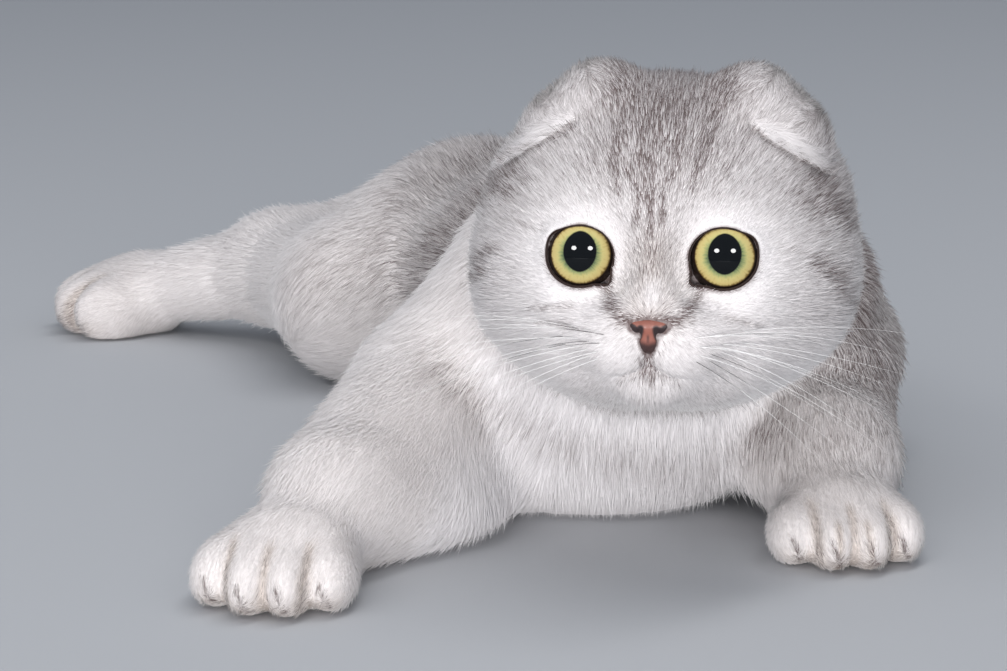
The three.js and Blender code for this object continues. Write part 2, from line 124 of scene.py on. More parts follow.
# %% Where the head is, and its measures
HEAD_AT = np.float32([-3, -103, 101.3])
HEAD_TILT = Euler([math.radians(v) for v in (-8, 0.4, -8)], "XYZ").to_matrix()
TO_HEAD = np.float32([list(row) for row in HEAD_TILT])
EYE = {"ball": 10.4, "cornea": 9.5, "cornea_ahead": 2.4, "clear": 0.9}
EYE_AT = {-1: (-20.5, -32, -4.5), 1: (19.1, -32, -3.9)}  # the right eye and the left
LID = {"wide": 9.5, "tall": 8.5}
LID_CORNERS = [(33, 0.35, 0.10), (221, 0.23, 0.25)]  # outer and inner: turn in degrees, breadth, reach
EAR = {
    "root": [21.7, 0, 36.3], "tip": [30.1, 0, 29.6], "inner": 14.5, "outer": 14.0,
    "over": 2.6, "sunk": 1.4,
}
FREE_EDGE = [(24.5, 33.6), (31, 30.2), (38.2, 26.8), (46.5, 22.4)]  # across and up, like the next two
CREASE = [(25, 30.9), (32.4, 26.6), (38.2, 22.8), (45.5, 18.8)]
FACE_MIDDLE = np.float32([0, -44, -18])  # the coat grows longer with the distance from here
MOUTH = [(0, -33.6), (4.5, -35.6), (9, -36.4)]


def in_head(p):
    return (p - HEAD_AT) @ TO_HEAD


def from_head(q):
    return q @ TO_HEAD.T + HEAD_AT


def folded(q):
    """Both halves of the head as one, so that a form is written once for the two sides."""
    return np.concatenate([np.abs(q[..., :1]), q[..., 1:]], axis=-1)


print("head frame", HEAD_AT)

# %% [markdown]
# ## Skull and ears
# A wide, round skull with full cheeks gives the breed its look of an owl. Each ear is folded forwards and
# down like a cap, so it is one rounded form that lies on the head. The line of its free edge is kept,
# because the coat changes there.

# %% Skull and ears
def skull(q):
    return blend_all(18, [
        ball(q, [0, 8, 7], [49, 49, 41]),
        ball(q, [0, 10, 16], [50.5, 38, 24]),
        ball(q, [24, -1, -11], [34.5, 35, 31]),
        ball(q, [0, -26, -18], [26, 18, 20]),
        ball(q, [10, -17, -27], [23, 21, 18]),
    ])


def ear(q):
    """The folded ear, which sits a little to the left of the middle of the head on both sides."""
    flat = np.stack([np.abs(q[..., 0] - EAR["over"]), (q[..., 1] + 5) / 1.35, q[..., 2]], -1)
    return limb(flat, EAR["root"], EAR["tip"], EAR["inner"], EAR["outer"])


def along_line(x, z, line):
    """The distance to a line of points, seen from the front."""
    near = np.full(x.shape, 1e3, np.float32)
    for (x0, z0), (x1, z1) in zip(line, line[1:]):
        h = np.clip(((x - x0) * (x1 - x0) + (z - z0) * (z1 - z0)) / ((x1 - x0) ** 2 + (z1 - z0) ** 2), 0, 1)
        near = np.minimum(near, np.hypot(x - x0 - (x1 - x0) * h, z - z0 - (z1 - z0) * h))
    return near


print("ear from", EAR["root"], "to", EAR["tip"])

# %% [markdown]
# ## Muzzle and lids
# The muzzle is two round pads under a short bridge, with a small chin. The opening between the lids is
# nearly round, drawn out to a point at its inner and outer corner. The lids lie on the ball of the eye,
# so the face swells there by a little more than the ball.

# %% Muzzle and lids
def face_depth(q):
    return 1.3 + 2.0 * ramp(size_of(q - FACE_MIDDLE), 26, 62)


def muzzle(q):
    bridge = limb(q, [0, -30, 6], [0, -41, -18], 9, 7)
    pads = blend(ball(q, [0, -36, -26], [19, 13, 12]), bridge, 8)
    pads = blend(pads, ball(q, [8, -42, -29], [10.5, 9.5, 8.5]), 3)
    return blend(pads, ball(q, [0, -37, -38], [10, 8.5, 7.5]), 4)


def eye_frame(q):
    """Each point from the middle of the eye on its own side: outwards, back and up."""
    left = q[..., :1] > 0
    e = q - np.where(left, np.float32(EYE_AT[1]), np.float32(EYE_AT[-1]))
    return np.concatenate([np.where(left, e[..., :1], -e[..., :1]), e[..., 1:]], axis=-1)


def lid_edge(turn):
    """How far the edge of the lids lies from the middle of the eye."""
    edge = 1 / np.hypot(np.cos(turn) / LID["wide"], np.sin(turn) / LID["tall"])
    grow = 1.0
    for at, breadth, reach in LID_CORNERS:
        apart = np.remainder(turn - math.radians(at) + math.pi, 2 * math.pi) - math.pi
        grow = grow + reach * np.exp(-((apart / breadth) ** 2))
    return edge * grow


def lid_shape(x, z):
    return np.hypot(x, z) - lid_edge(np.arctan2(z, x))


def face_form(q):
    f = folded(q)
    face = blend(skull(f), muzzle(f), 10)
    face = carve(face, ball(f, [19, -46, -4], [13, 6.5, 12]), 6)
    face = face + face_depth(f)
    return blend(face, size_of(eye_frame(q)) - EYE["ball"] - EYE["clear"], 4)


print("lids", LID, "corners", len(LID_CORNERS))

# %% [markdown]
# ## Nose and mouth
# The nose is a broad wedge with a cleft below and two nostrils, each with a slit that runs out to the side.
# It is a form of its own, because it is bare. The mouth is a shallow groove in the skin of the head.

# %% Nose and mouth
def nostril(f):
    """The hole and the slit that runs from it outwards and up."""
    hole = limb(f, [2.5, -51.5, -23.1], [2.8, -49.6, -25.4], 0.9, 0.75)
    slit = limb(f, [3.1, -51.0, -24.6], [5.2, -49.6, -23.2], 0.5, 0.4)
    return np.minimum(hole, np.minimum(slit, limb(f, [5.2, -49.6, -23.2], [7.9, -46.4, -21.2], 0.4, 0.3)))


def nose_form(q):
    f = folded(q)
    parts = [ball(f, [0, -47.1, -23.0], [4.7, 4.3, 2.8]), ball(f, [3.9, -46.3, -22.7], [2.4, 3.4, 2.0]),
             ball(f, [0, -46.9, -26.4], [3.2, 4.0, 3.8])]
    whole = blend(blend_all(1.6, parts), limb(f, [4.6, -48.6, -23.4], [7.9, -46.8, -21.4], 0.8, 0.45), 0.8)
    cleft = limb(f, [0, -51.7, -25.4], [0, -50.6, -31], 0.3, 0.4)
    return carve(carve(whole, nostril(f), 0.4), cleft, 0.6)


def head_skin(q):
    face = face_form(q)
    eye = eye_frame(q)
    face = carve(face, np.maximum(lid_shape(eye[..., 0], eye[..., 2]) + 0.3, eye[..., 1] + 4), 0.8)
    f = folded(q)
    grooves = limb(f, [0, -50.5, -27], [0, -47.5, MOUTH[0][1]], 0.9, 1.1)
    for (x0, z0), (x1, z1) in zip(MOUTH, MOUTH[1:]):
        start, end = [x0, -46.6 + x0 * 0.22, z0], [x1, -46.6 + x1 * 0.22, z1]
        grooves = np.minimum(grooves, limb(f, start, end, 0.85 - 0.07 * x0, 0.85 - 0.07 * x1))
    face = carve(face, grooves, 1.6)
    face = blend(face, ear(q) + EAR["sunk"], 7)
    crease = along_line(f[..., 0], f[..., 2], CREASE) + ramp(q[..., 1], -8, 2) * 20
    return face + 1.5 * np.exp(-((crease / 1.2) ** 2))


print("mouth through", MOUTH)

# %% [markdown]
# ## Body
# The trunk runs back from the shoulders and bends a little, because the hips lie on their left side. Each
# leg is one form from its root in the trunk to its toes. Everything is sunk by the depth of the coat.

# %% Measures of the body
TRUNK = [
    ([0, 0, 53], [62, 62, 57]),
    ([-21, -33, 31], [57, 34, 39]),
    ([-8, 55, 49], [60.5, 58, 48.5]),
    ([-30, 108, 46], [58, 56, 46]),
    ([-52, 158, 44], [54, 52, 40]),
]
APRON = ([-76, -60, 14], [30, 34, 20])
NECK = ([0, -5, 74], [-2, -78, 90], 40, 37)
LEGS = {
    "fore_right": {
        "joints": [([-38, -18, 62], 34), ([-72, -20, 34], 26),
                   ([-100, -97, 20], 21.5), ([-108, -122, 14], 16.5)],
        "foot": ([-114, -127], -8, 1.05, 1),
    },
    "fore_left": {
        "joints": [([42, -5, 62], 33), ([58, 18, 38], 26), ([51, -54, 20], 23.5), ([53, -84, 13], 14)],
        "foot": ([52, -85], 4, 1.02, 1),
    },
    "hind_right": {
        "joints": [([-62, 166, 48], 36.5), ([-104, 130, 32], 31),
                   ([-138, 193, 31], 22.5), ([-192, 215, 18], 15.5)],
        "foot": ([-202, 220], -80, 1.13, 1.18),
    },
}
HAUNCH = ([-62, 166, 48], [-138, 193, 31], 32, 22)
TUCKED = ([36, 98], 6, 0.84, 1)
TAIL = [[-44, 196, 44], [-22, 226, 26], [24, 226, 15], [62, 192, 13], [76, 146, 12], [78, 122, 12]]
TOE = {"wide": 6.9, "long": 12, "tall": 9.6, "apart": 10.6}
TOES = (-1.5, -0.5, 0.5, 1.5)
SUNK = 1.5
ROOT_SOFT = {"fore_right": 32, "fore_left": 20, "hind_right": 26}  # how softly each leg grows from the trunk
COAT = {"trunk": 4.6, "ruff": 5.4, "leg": 3.3, "foot": 1.4, "tail": 4.6}
print("trunk from", len(TRUNK), "balls, tail from", len(TAIL) - 1, "limbs, legs", list(LEGS))

# %% [markdown]
# ## Feet and legs
# A foot is a palm with four toes side by side, the middle two ahead of the others, in a frame that turns
# with the leg. A leg is a chain of tapered limbs from joint to joint.

# %% Feet and legs
def in_foot(p, at, turn, size, tall):
    """A foot's own frame: x across, y back from the toes, z up."""
    c, s = math.cos(math.radians(turn)), math.sin(math.radians(turn))
    x, y = p[..., 0] - at[0], p[..., 1] - at[1]
    return np.stack([x * c + y * s, y * c - x * s, p[..., 2] / tall], axis=-1) / np.float32(size)


def foot_form(p, at, turn, size, tall, less):
    q = in_foot(p, at, turn, size, tall)
    less = less / size
    toes = [
        ball(q, [i * TOE["apart"], -16 + 3.2 * (i * i - 0.25), 8.2],
             [TOE["wide"] - less * 0.3, TOE["long"] - less, TOE["tall"] - less])
        for i in TOES
    ]
    palm = ball(q, [0, 2, 10], [19.5 - less, 19 - less, 14 - less])
    return blend(blend_all(3.0, toes), palm, 9) * size


def leg_form(p, name):
    joints = LEGS[name]["joints"]
    lengths = [limb(p, a, b, ra, rb) for (a, ra), (b, rb) in zip(joints, joints[1:])]
    if name == "hind_right":
        lengths.append(limb(p, *HAUNCH))
    return blend_all(10, lengths) + COAT["leg"]


print("toes on a foot", len(TOES))

# %% [markdown]
# ## The whole body
# Each region stays a form of its own as well, so that the coat can ask later which one a point is on. For
# the skin they are blended one after the other, softly where much flesh and hair lies between them.

# %% All regions, and the skin round them
def body_groups(p):
    """The distance to the skin of each region."""
    low = p + np.float32([0, 0, SUNK])
    trunk = blend_all(16, [ball(low, c, r) for c, r in TRUNK]) + COAT["trunk"]
    ruff = blend(limb(low, *NECK), ball(low, *APRON), 16) + COAT["ruff"]
    thigh = blend(ball(p, [-8, 140, 42], [31, 46, 42]), limb(p, [-10, 140, 40], [14, 104, 28], 30, 25), 10)
    tail = blend_all(8, [
        limb(p, a, b, 16.5 - 1.1 * i, 15.4 - 1.1 * i) for i, (a, b) in enumerate(zip(TAIL, TAIL[1:]))
    ])
    groups = {"trunk": trunk, "ruff": ruff}
    for name in LEGS:
        groups[name] = leg_form(p, name)
        groups["foot_" + name] = foot_form(p, *LEGS[name]["foot"], COAT["foot"])
    groups["thigh_left"] = thigh + COAT["leg"] + 1
    groups["shin_left"] = limb(p, [20, 112, 24], [24, 176, 20], 20, 17) + COAT["leg"]
    groups["foot_hind_left"] = blend(
        foot_form(p, *TUCKED, COAT["foot"]), limb(p, [26, 176, 13], [35, 104, 12], 13, 13) + 3, 8)
    groups["tail"] = tail + COAT["tail"]
    groups["head"] = head_skin(in_head(p))
    return groups


def skin_form(p):
    g = body_groups(p)
    whole = blend(g["trunk"], g["ruff"], 20)
    for name in LEGS:
        whole = blend(whole, blend(g[name], g["foot_" + name], 8), ROOT_SOFT[name])
    throat = 20 + 24 * ramp(-in_head(p)[..., 2], -5, 30)  # the hair fills the fold under the chin
    softs = {"thigh_left": 16, "shin_left": 6, "foot_hind_left": 5, "tail": 9, "head": throat}
    for name, soft in softs.items():
        whole = blend(whole, g[name], soft)
    return np.maximum(whole, 0.4 - p[..., 2])  # flat where it would reach the floor


print("regions", len(LEGS) * 2 + 7)

# %% [markdown]
# ## Skin
# The skin is the surface where that distance is nought. A grid of voxels finds it, fine only near the
# surface so that it stays quick, and every corner is then drawn onto the exact form. The face gets
# smaller faces, for the lids and the mouth.

# %% From distances to a mesh
def level_mesh(form, low, high, voxel, block=4, reach=2.2):
    """The surface of a form in a box, as corners and faces."""
    low, high = np.float32(low), np.float32(high)
    count = np.ceil((high - low) / (voxel * block)).astype(int)
    centres = np.stack(np.meshgrid(*[np.arange(n) for n in count], indexing="ij"), -1).reshape(-1, 3)
    far = form(low + (centres.astype(np.float32) + 0.5) * voxel * block - voxel / 2)
    values = np.where(far < 0, -3 * voxel, 3 * voxel).astype(np.float32)
    values = values.reshape(*count).repeat(block, 0).repeat(block, 1).repeat(block, 2)
    inner = np.stack(np.meshgrid(*[np.arange(block)] * 3, indexing="ij"), -1).reshape(-1, 3)
    near = centres[np.abs(far) < voxel * block * reach]
    cells = (near[:, None] * block + inner[None]).reshape(-1, 3)
    values[tuple(cells.T)] = form(low + cells.astype(np.float32) * voxel)
    grid = openvdb.FloatGrid(3 * voxel)
    grid.copyFromArray(values)
    points, quads = grid.convertToQuads(0.0)
    return np.float32(points) * voxel + low, quads


def settle(p, form, steps=3):
    """Draws points onto the surface of a form, and gives the direction that faces out of it."""
    h = 0.15
    shifts = np.float32(np.eye(3) * h)
    for _ in range(steps):
        slope = np.stack([(form(p + s) - form(p - s)) / (2 * h) for s in shifts], -1)
        steep = np.maximum(np.einsum("ij,ij->i", slope, slope), 0.05)
        move = slope * (form(p) / steep)[:, None]
        p = p - np.clip(move, -0.8, 0.8)
    return p, slope / np.sqrt(steep)[:, None]


print("surface finder ready")

# %% [markdown]
# ## Meshes and pieces
# Everything is modelled in millimetres round the shoulders and written in metres of the frame. Every piece
# rides on the one body that the animal is, because a still model has no joints.

# %% Meshes and pieces
def in_metres(p):
    """From millimetres round the shoulders to metres of the frame."""
    return (p + HOME) / 1000


def rework(mesh, work):
    """Runs some work on the editable form of a mesh."""
    b = bmesh.new()
    b.from_mesh(mesh)
    work(b)
    b.to_mesh(mesh)
    b.free()


def make_sound(b):
    """Joins doubled corners and turns all faces outwards."""
    bmesh.ops.remove_doubles(b, verts=b.verts, dist=1e-6)
    bmesh.ops.recalc_face_normals(b, faces=b.faces)
    if b.calc_volume(signed=True) < 0:
        bmesh.ops.reverse_faces(b, faces=b.faces)


def mesh_of(name, points, faces):
    """A smooth, sound mesh in metres of the frame."""
    mesh = bpy.data.meshes.new(name)
    mesh.from_pydata(in_metres(points).tolist(), [], [list(map(int, f)) for f in faces])
    rework(mesh, make_sound)
    mesh.shade_smooth()
    return mesh


def place(name, mesh, material):
    """One piece of the cat, which rides on its only body."""
    thing = bpy.data.objects.new(name, mesh)
    bpy.context.collection.objects.link(thing)
    mesh.materials.append(material)
    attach(thing, "root")
    return thing


def read(items, what, kind, width):
    """One property of all items of a mesh, as the rows of an array."""
    flat = np.empty(len(items) * width, kind)
    items.foreach_get(what, flat)
    return flat.reshape(-1, width)


def store(mesh, label, values, kind="FLOAT"):
    """Numbers or arrows at the corners of a mesh, for its finish or for a tree."""
    what = "value" if kind == "FLOAT" else "vector"
    mesh.attributes.new(label, kind, "POINT").data.foreach_set(what, np.asarray(values, np.float32).ravel())


def corners_of(mesh):
    return read(mesh.vertices, "co", np.float32, 3) * 1000 - np.float32(HOME)


print("mesh helpers ready")

# %% The skin
VOXEL = 2.0
ROOM = [-236, -164, -8], [100, 250, 156]  # two opposite corners of the box that holds the cat
points, quads = level_mesh(skin_form, *ROOM, VOXEL)
print("skin grid", len(points), "corners", len(quads), "faces")

# %% Finer faces on the face
skin_mesh = mesh_of("skin", points, quads)


def refine(mesh, chosen):
    """Halves the faces whose corners are all chosen."""
    def work(b):
        edges = [e for e in b.edges if chosen[e.verts[0].index] and chosen[e.verts[1].index]]
        bmesh.ops.subdivide_edges(b, edges=edges, cuts=1, use_grid_fill=True)
        bmesh.ops.triangulate(b, faces=[f for f in b.faces if len(f.verts) > 4])
    rework(mesh, work)


q = folded(in_head(corners_of(skin_mesh)))
refine(skin_mesh, (q[:, 1] < -14) & (size_of(q - np.float32([8, -40, -14])) < 38))
q = in_head(corners_of(skin_mesh))
eye_near = size_of(eye_frame(q) - np.float32([0, -8, 0])) < 14
mouth_near = size_of(folded(q) - np.float32([4, -45, -32])) < 14
refine(skin_mesh, eye_near | mouth_near)
skin_points, skin_normals = settle(corners_of(skin_mesh), skin_form)
skin_mesh.vertices.foreach_set("co", in_metres(skin_points).astype(np.float32).ravel())
skin_mesh.shade_smooth()
skin_mesh.update()
print("skin", len(skin_mesh.vertices), "corners", len(skin_mesh.polygons), "faces")

# %% [markdown]
# ## Unwrap
# The skin is cut into flat patches by its own shape, and each tuft of the coat later takes a small patch
# where its root stands.

# %% Unwrap the skin
skin = bpy.data.objects.new("skin", skin_mesh)
bpy.context.collection.objects.link(skin)
skin_mesh.uv_layers.new(name="OFBake")
bpy.context.view_layer.objects.active = skin
skin.select_set(True)
bpy.ops.object.mode_set(mode="EDIT")
bpy.ops.mesh.select_all(action="SELECT")
bpy.ops.uv.smart_project(angle_limit=math.radians(66), island_margin=0.002)
bpy.ops.object.mode_set(mode="OBJECT")
skin.select_set(False)
print("unwrapped", len(skin_mesh.loops), "corners")

# %% [markdown]
# ## Regions
# Each region of the coat has a length, a spacing and a slant. A point near two regions gets a mixture of
# both, so that the coat changes without a border. Lengths are in millimetres and slants in degrees.

# %% Coat by region
MIXED_OVER = 3.5  # millimetres over which one region passes into the next
REGIONS = {
    #            length spacing width slant
    "face": (2.7, 0.62, 0.24, 16),
    "head": (5.2, 0.72, 0.27, 17),
    "ear": (3.0, 0.64, 0.24, 36),
    "fringe": (7.5, 0.50, 0.24, 11),
    "trunk": (10.0, 1.06, 0.36, 13),
    "ruff": (11.0, 1.02, 0.36, 13),
    "leg": (7.5, 0.98, 0.34, 13),
    "foot": (3.4, 0.80, 0.29, 16),
    "tail": (11.0, 1.12, 0.38, 16),
}


def fringe_share(q):
    """The white hair that lies along the free edge of the ear."""
    band = along_line(np.abs(q[:, 0]), q[:, 2], FREE_EDGE)
    middle = (FREE_EDGE[0][0] + FREE_EDGE[-1][0]) / 2
    lens = 0.5 + 1.9 * np.exp(-(((np.abs(q[:, 0]) - middle) / 7) ** 2))
    return np.exp(-((band / lens) ** 4)) * ramp(-q[:, 1], 0, 7)


def region_shares(p):
    """How much of each region a point belongs to."""
    g = body_groups(p)
    q = in_head(p)
    apart = {
        "trunk": g["trunk"],
        "ruff": g["ruff"],
        "tail": g["tail"],
        "leg": np.minimum.reduce([g[n] for n in LEGS] + [g["thigh_left"], g["shin_left"]]),
        "foot": np.minimum.reduce([g[n] for n in g if n.startswith("foot_")]),
        "head": g["head"],
        "ear": ear(q) + EAR["sunk"] - 5,
    }
    d = np.stack(list(apart.values()), -1)
    w = np.exp(-(d - d.min(-1, keepdims=True)) / MIXED_OVER)
    shares = dict(zip(apart, (w / w.sum(-1, keepdims=True)).T))
    face = 1 - ramp(size_of(q - FACE_MIDDLE), 26, 58)
    shares["face"] = shares["head"] * face
    shares["head"] = shares["head"] * (1 - face)
    fringe = fringe_share(q)
    for name in ("face", "head", "ear"):
        shares[name] = shares[name] * (1 - fringe)
    shares["fringe"] = fringe * (shares["face"] + shares["head"] + shares["ear"] > 0)
    return shares


shares = region_shares(skin_points)
print({name: int((share > 0.5).sum()) for name, share in shares.items()})

# %% [markdown]
# ## Lie of the coat
# Hair grows away from the nose over the head, and from there back along the trunk and down each leg to
# the toes. Each bone carries the direction of its coat, and a point follows the bones nearest to it.

# %% Directions
GUIDES = [
    ([0, -60, 100], [0, 0, 60], 36, [0, 1, -0.1]),
    ([0, 0, 60], [-8, 55, 52], 52, [-0.1, 1, 0]),
    ([-8, 55, 52], [-30, 108, 46], 50, [-0.3, 1, 0]),
    ([-30, 108, 46], [-52, 158, 45], 46, [-0.4, 1, 0]),
    ([-6, -88, 70], [-14, -64, 14], 22, [0, -0.15, -1]),
    ([-34, -58, 44], [-82, -62, 8], 16, [-0.5, -0.35, -0.75]),
    ([28, -70, 66], [30, -50, 14], 18, [0.15, -0.1, -1]),
    ([-8, 140, 60], [14, 104, 28], 26, [0.2, -0.8, -0.5]),
    ([20, 112, 24], [24, 176, 20], 16, [0, 1, -0.1]),
    ([26, 170, 12], [36, 84, 10], 12, [0, -1, -0.1]),
]
for name in LEGS:
    joints = [j for j, _ in LEGS[name]["joints"]]
    radii = [r for _, r in LEGS[name]["joints"]]
    for a, b, r in zip(joints, joints[1:], radii):
        GUIDES.append((a, b, r - 4, (np.float32(b) - np.float32(a)).tolist()))
    (x, y), turn, size, tall = LEGS[name]["foot"]
    toes = [math.sin(math.radians(turn)), -math.cos(math.radians(turn)), -0.25]
    GUIDES.append(([x, y, 12], [x + 18 * toes[0], y + 18 * toes[1], 8], 10, toes))
for a, b in zip(TAIL, TAIL[1:]):
    GUIDES.append((a, b, 8, (np.float32(b) - np.float32(a)).tolist()))


def unit(v):
    return v / np.maximum(size_of(v), 1e-6)[..., None]


def lie_of(p, normal, head_share):
    """The direction along the skin in which the hair lies."""
    total = np.zeros_like(p)
    for a, b, r, way in GUIDES:
        d = np.maximum(limb(p, a, b, r, r), 0) + 3
        total += unit(np.float32(way)) * (d ** -3.0)[:, None]
    total = unit(total)
    total[:, 2] -= 0.25 * (1 - np.abs(normal[:, 2]))
    q = in_head(p)
    side = np.sign(q[:, :1])
    away = unit(q - np.float32([0, -40, -21])) + np.float32([0, 0.25, 0])
    outwards = unit(q - side * np.float32([22, 0, 0]) - np.float32([0, 6, 16]))
    outwards = outwards + side * np.float32([0.25, 0, 0])
    on_ear = np.exp(-np.maximum(ear(q) + EAR["sunk"], 0) / 3) * ramp(q[:, 2], 16, 28)
    away = away * (1 - on_ear[:, None]) + outwards * on_ear[:, None]
    edge = np.concatenate([side * 0.85, np.full_like(side, 0.12), np.full_like(side, -0.5)], -1)
    fringe = fringe_share(q)[:, None]
    away = away * (1 - fringe) + edge * fringe
    head_way = unit(away) @ TO_HEAD.T
    way = total * (1 - head_share[:, None]) + head_way * head_share[:, None]
    return unit(way - normal * np.einsum("ij,ij->i", way, normal)[:, None])


ON_HEAD = ("head", "face", "ear", "fringe")
print("guides", len(GUIDES))

# %% [markdown]
# ## Markings
# A silver shaded tabby is white at the roots and grey-brown at the tips. How much of each hair is dark makes
# the pattern: a dark crown, lines between the brows, a brown shade on the bridge of the nose, and a back
# that is darker than the chest and the feet. Each mark is a soft stroke on the face, from one point
# to another across (x) and up (z).

# %% Strokes on the face
STROKES = [
    # x0, z0, x1, z1, width, strength
    (-8.4, 19.7, -4.7, 12.8, 0.75, 0.9), (-4.7, 12.8, -4.7, 4.3, 0.7, 0.8),
    (-2.2, 22.6, -1.5, 11.7, 1.3, 0.85), (-1.5, 11.7, -1.0, 0.9, 0.9, 0.75),
    (4.2, 18.6, 1.8, 13.0, 0.75, 0.9), (1.8, 13.0, 2.0, 4.5, 0.7, 0.8),
    (-9.4, 32.5, -11.6, 27.0, 1.7, 0.75), (-11.6, 27.0, -11.8, 19.0, 1.3, 0.65),
    (-11.8, 19, -10.2, 13, 1.0, 0.35),
    (13.9, 34.2, 12.6, 28.0, 1.8, 0.7), (12.6, 28.0, 10.9, 20.5, 1.4, 0.7), (10.9, 20.5, 9.6, 14, 1.0, 0.35),
    (-1.2, 36.3, -4.1, 29.4, 1.6, 0.55), (-4.1, 29.4, -4.8, 21.4, 1.2, 0.5),
    (4.8, 36, 5.0, 29, 1.5, 0.5), (5.0, 29, 5.2, 22, 1.1, 0.5), (0.8, 33, 0.6, 25, 1.2, 0.45),
    (-9, 41, 13, 42, 5.5, 0.75), (-6, 48, 10, 48, 6.0, 0.8),
    (-42, 18, -47, 13.4, 2.0, 0.7), (-47, 13.4, -53, 9, 2.6, 0.6), (-36, 15, -44, 9, 1.0, 0.35),
    (42, 17, 47.3, 11, 2.2, 0.7), (47.3, 11, 53, 4.8, 2.8, 0.6), (35, 14, 43, 7, 1.0, 0.35),
    (-45, -5, -53, -9, 1.5, 0.5), (-49, -11, -55, -15, 1.8, 0.5), (-31, 2, -38, 2, 0.8, 0.25),
    (43, -5, 49.5, -10.5, 2.0, 0.5), (50, -13, 54, -19, 1.6, 0.4), (33, -1, 39, -3, 0.8, 0.2),
    (-33, -20, -22, -18.5, 1.1, 0.35), (-31, -23.5, -22, -23, 1.0, 0.3), (29, -22, 20, -20.5, 1.2, 0.25),
    (-13.5, -12, -10.0, -17.5, 1.7, 0.6), (13.5, -12.5, 10.0, -18, 1.7, 0.55),
    (-10.5, -17, -7.4, -21, 1.6, 0.5), (10.5, -17.5, 7.4, -21.4, 1.6, 0.5),
    (-6.4, -20.4, 6.4, -20.4, 0.9, 0.6),
    # painted shade in the groove under the nose, at the middle of the mouth and along its lines
    (0, -30, 0, -34.6, 1.2, 0.9), (0, -31, 0, -34.5, 3.2, 0.3), (0, -36.2, 0, -36.8, 1.5, 0.5),
    (1.5, -35.6, 7.5, -37.4, 0.7, 0.35), (-1.5, -35.6, -7.5, -37.4, 0.7, 0.35),
    (5.0, -22.0, 7.9, -20.9, 0.6, 1.0), (-5.0, -22.0, -7.9, -20.9, 0.6, 1.0),
]
NECKLACE = [(-70.7, 51.8), (-32.7, 31), (10, 21.6), (34, 34)]  # on the chest, across and up
SPARSE = 0.06  # the dark that even white hair has
print("strokes", len(STROKES))

# %% [markdown]
# ## Marks on the feet
# The claws are drawn in, so each toe shows only a dark slit. Between the toes the coat lies in its own
# shade and is a little yellower.

# %% Marks on the feet
def stroke(x, z, x0, z0, x1, z1, width, strength):
    return strength * np.exp(-((along_line(x, z, [(x0, z0), (x1, z1)]) / width) ** 2))


def foot_marks(p):
    """The claw slits and the shade between the toes of every foot."""
    slits, creases = np.zeros(len(p)), np.zeros(len(p))
    for at, turn, size, tall in [LEGS[name]["foot"] for name in LEGS] + [TUCKED]:
        q = in_foot(p, at, turn, size, tall)
        front = ramp(-q[:, 1], 8, 20) * (np.abs(q[:, 0]) < 26) * (np.abs(q[:, 1]) < 45)
        for i in TOES:
            x = i * TOE["apart"]
            slits += stroke(q[:, 0], q[:, 2], x + 1.4, 3.0, x - 1.6, 10.5, 0.8, 1.0) * front
        for i in TOES[:-1]:
            x = (i + 0.5) * TOE["apart"]
            creases += stroke(q[:, 0], q[:, 2], x, 2, x, 18, 1.3, 1.0) * ramp(-q[:, 1], 0, 12)
        # painted shade along the bottom of the toes, where they meet the floor
        creases += stroke(q[:, 0], q[:, 2], -22, 3, 22, 3, 3.5, 0.5) * front
    return np.clip(slits, 0, 1), np.clip(creases, 0, 1)


print("feet", len(LEGS) + 1)
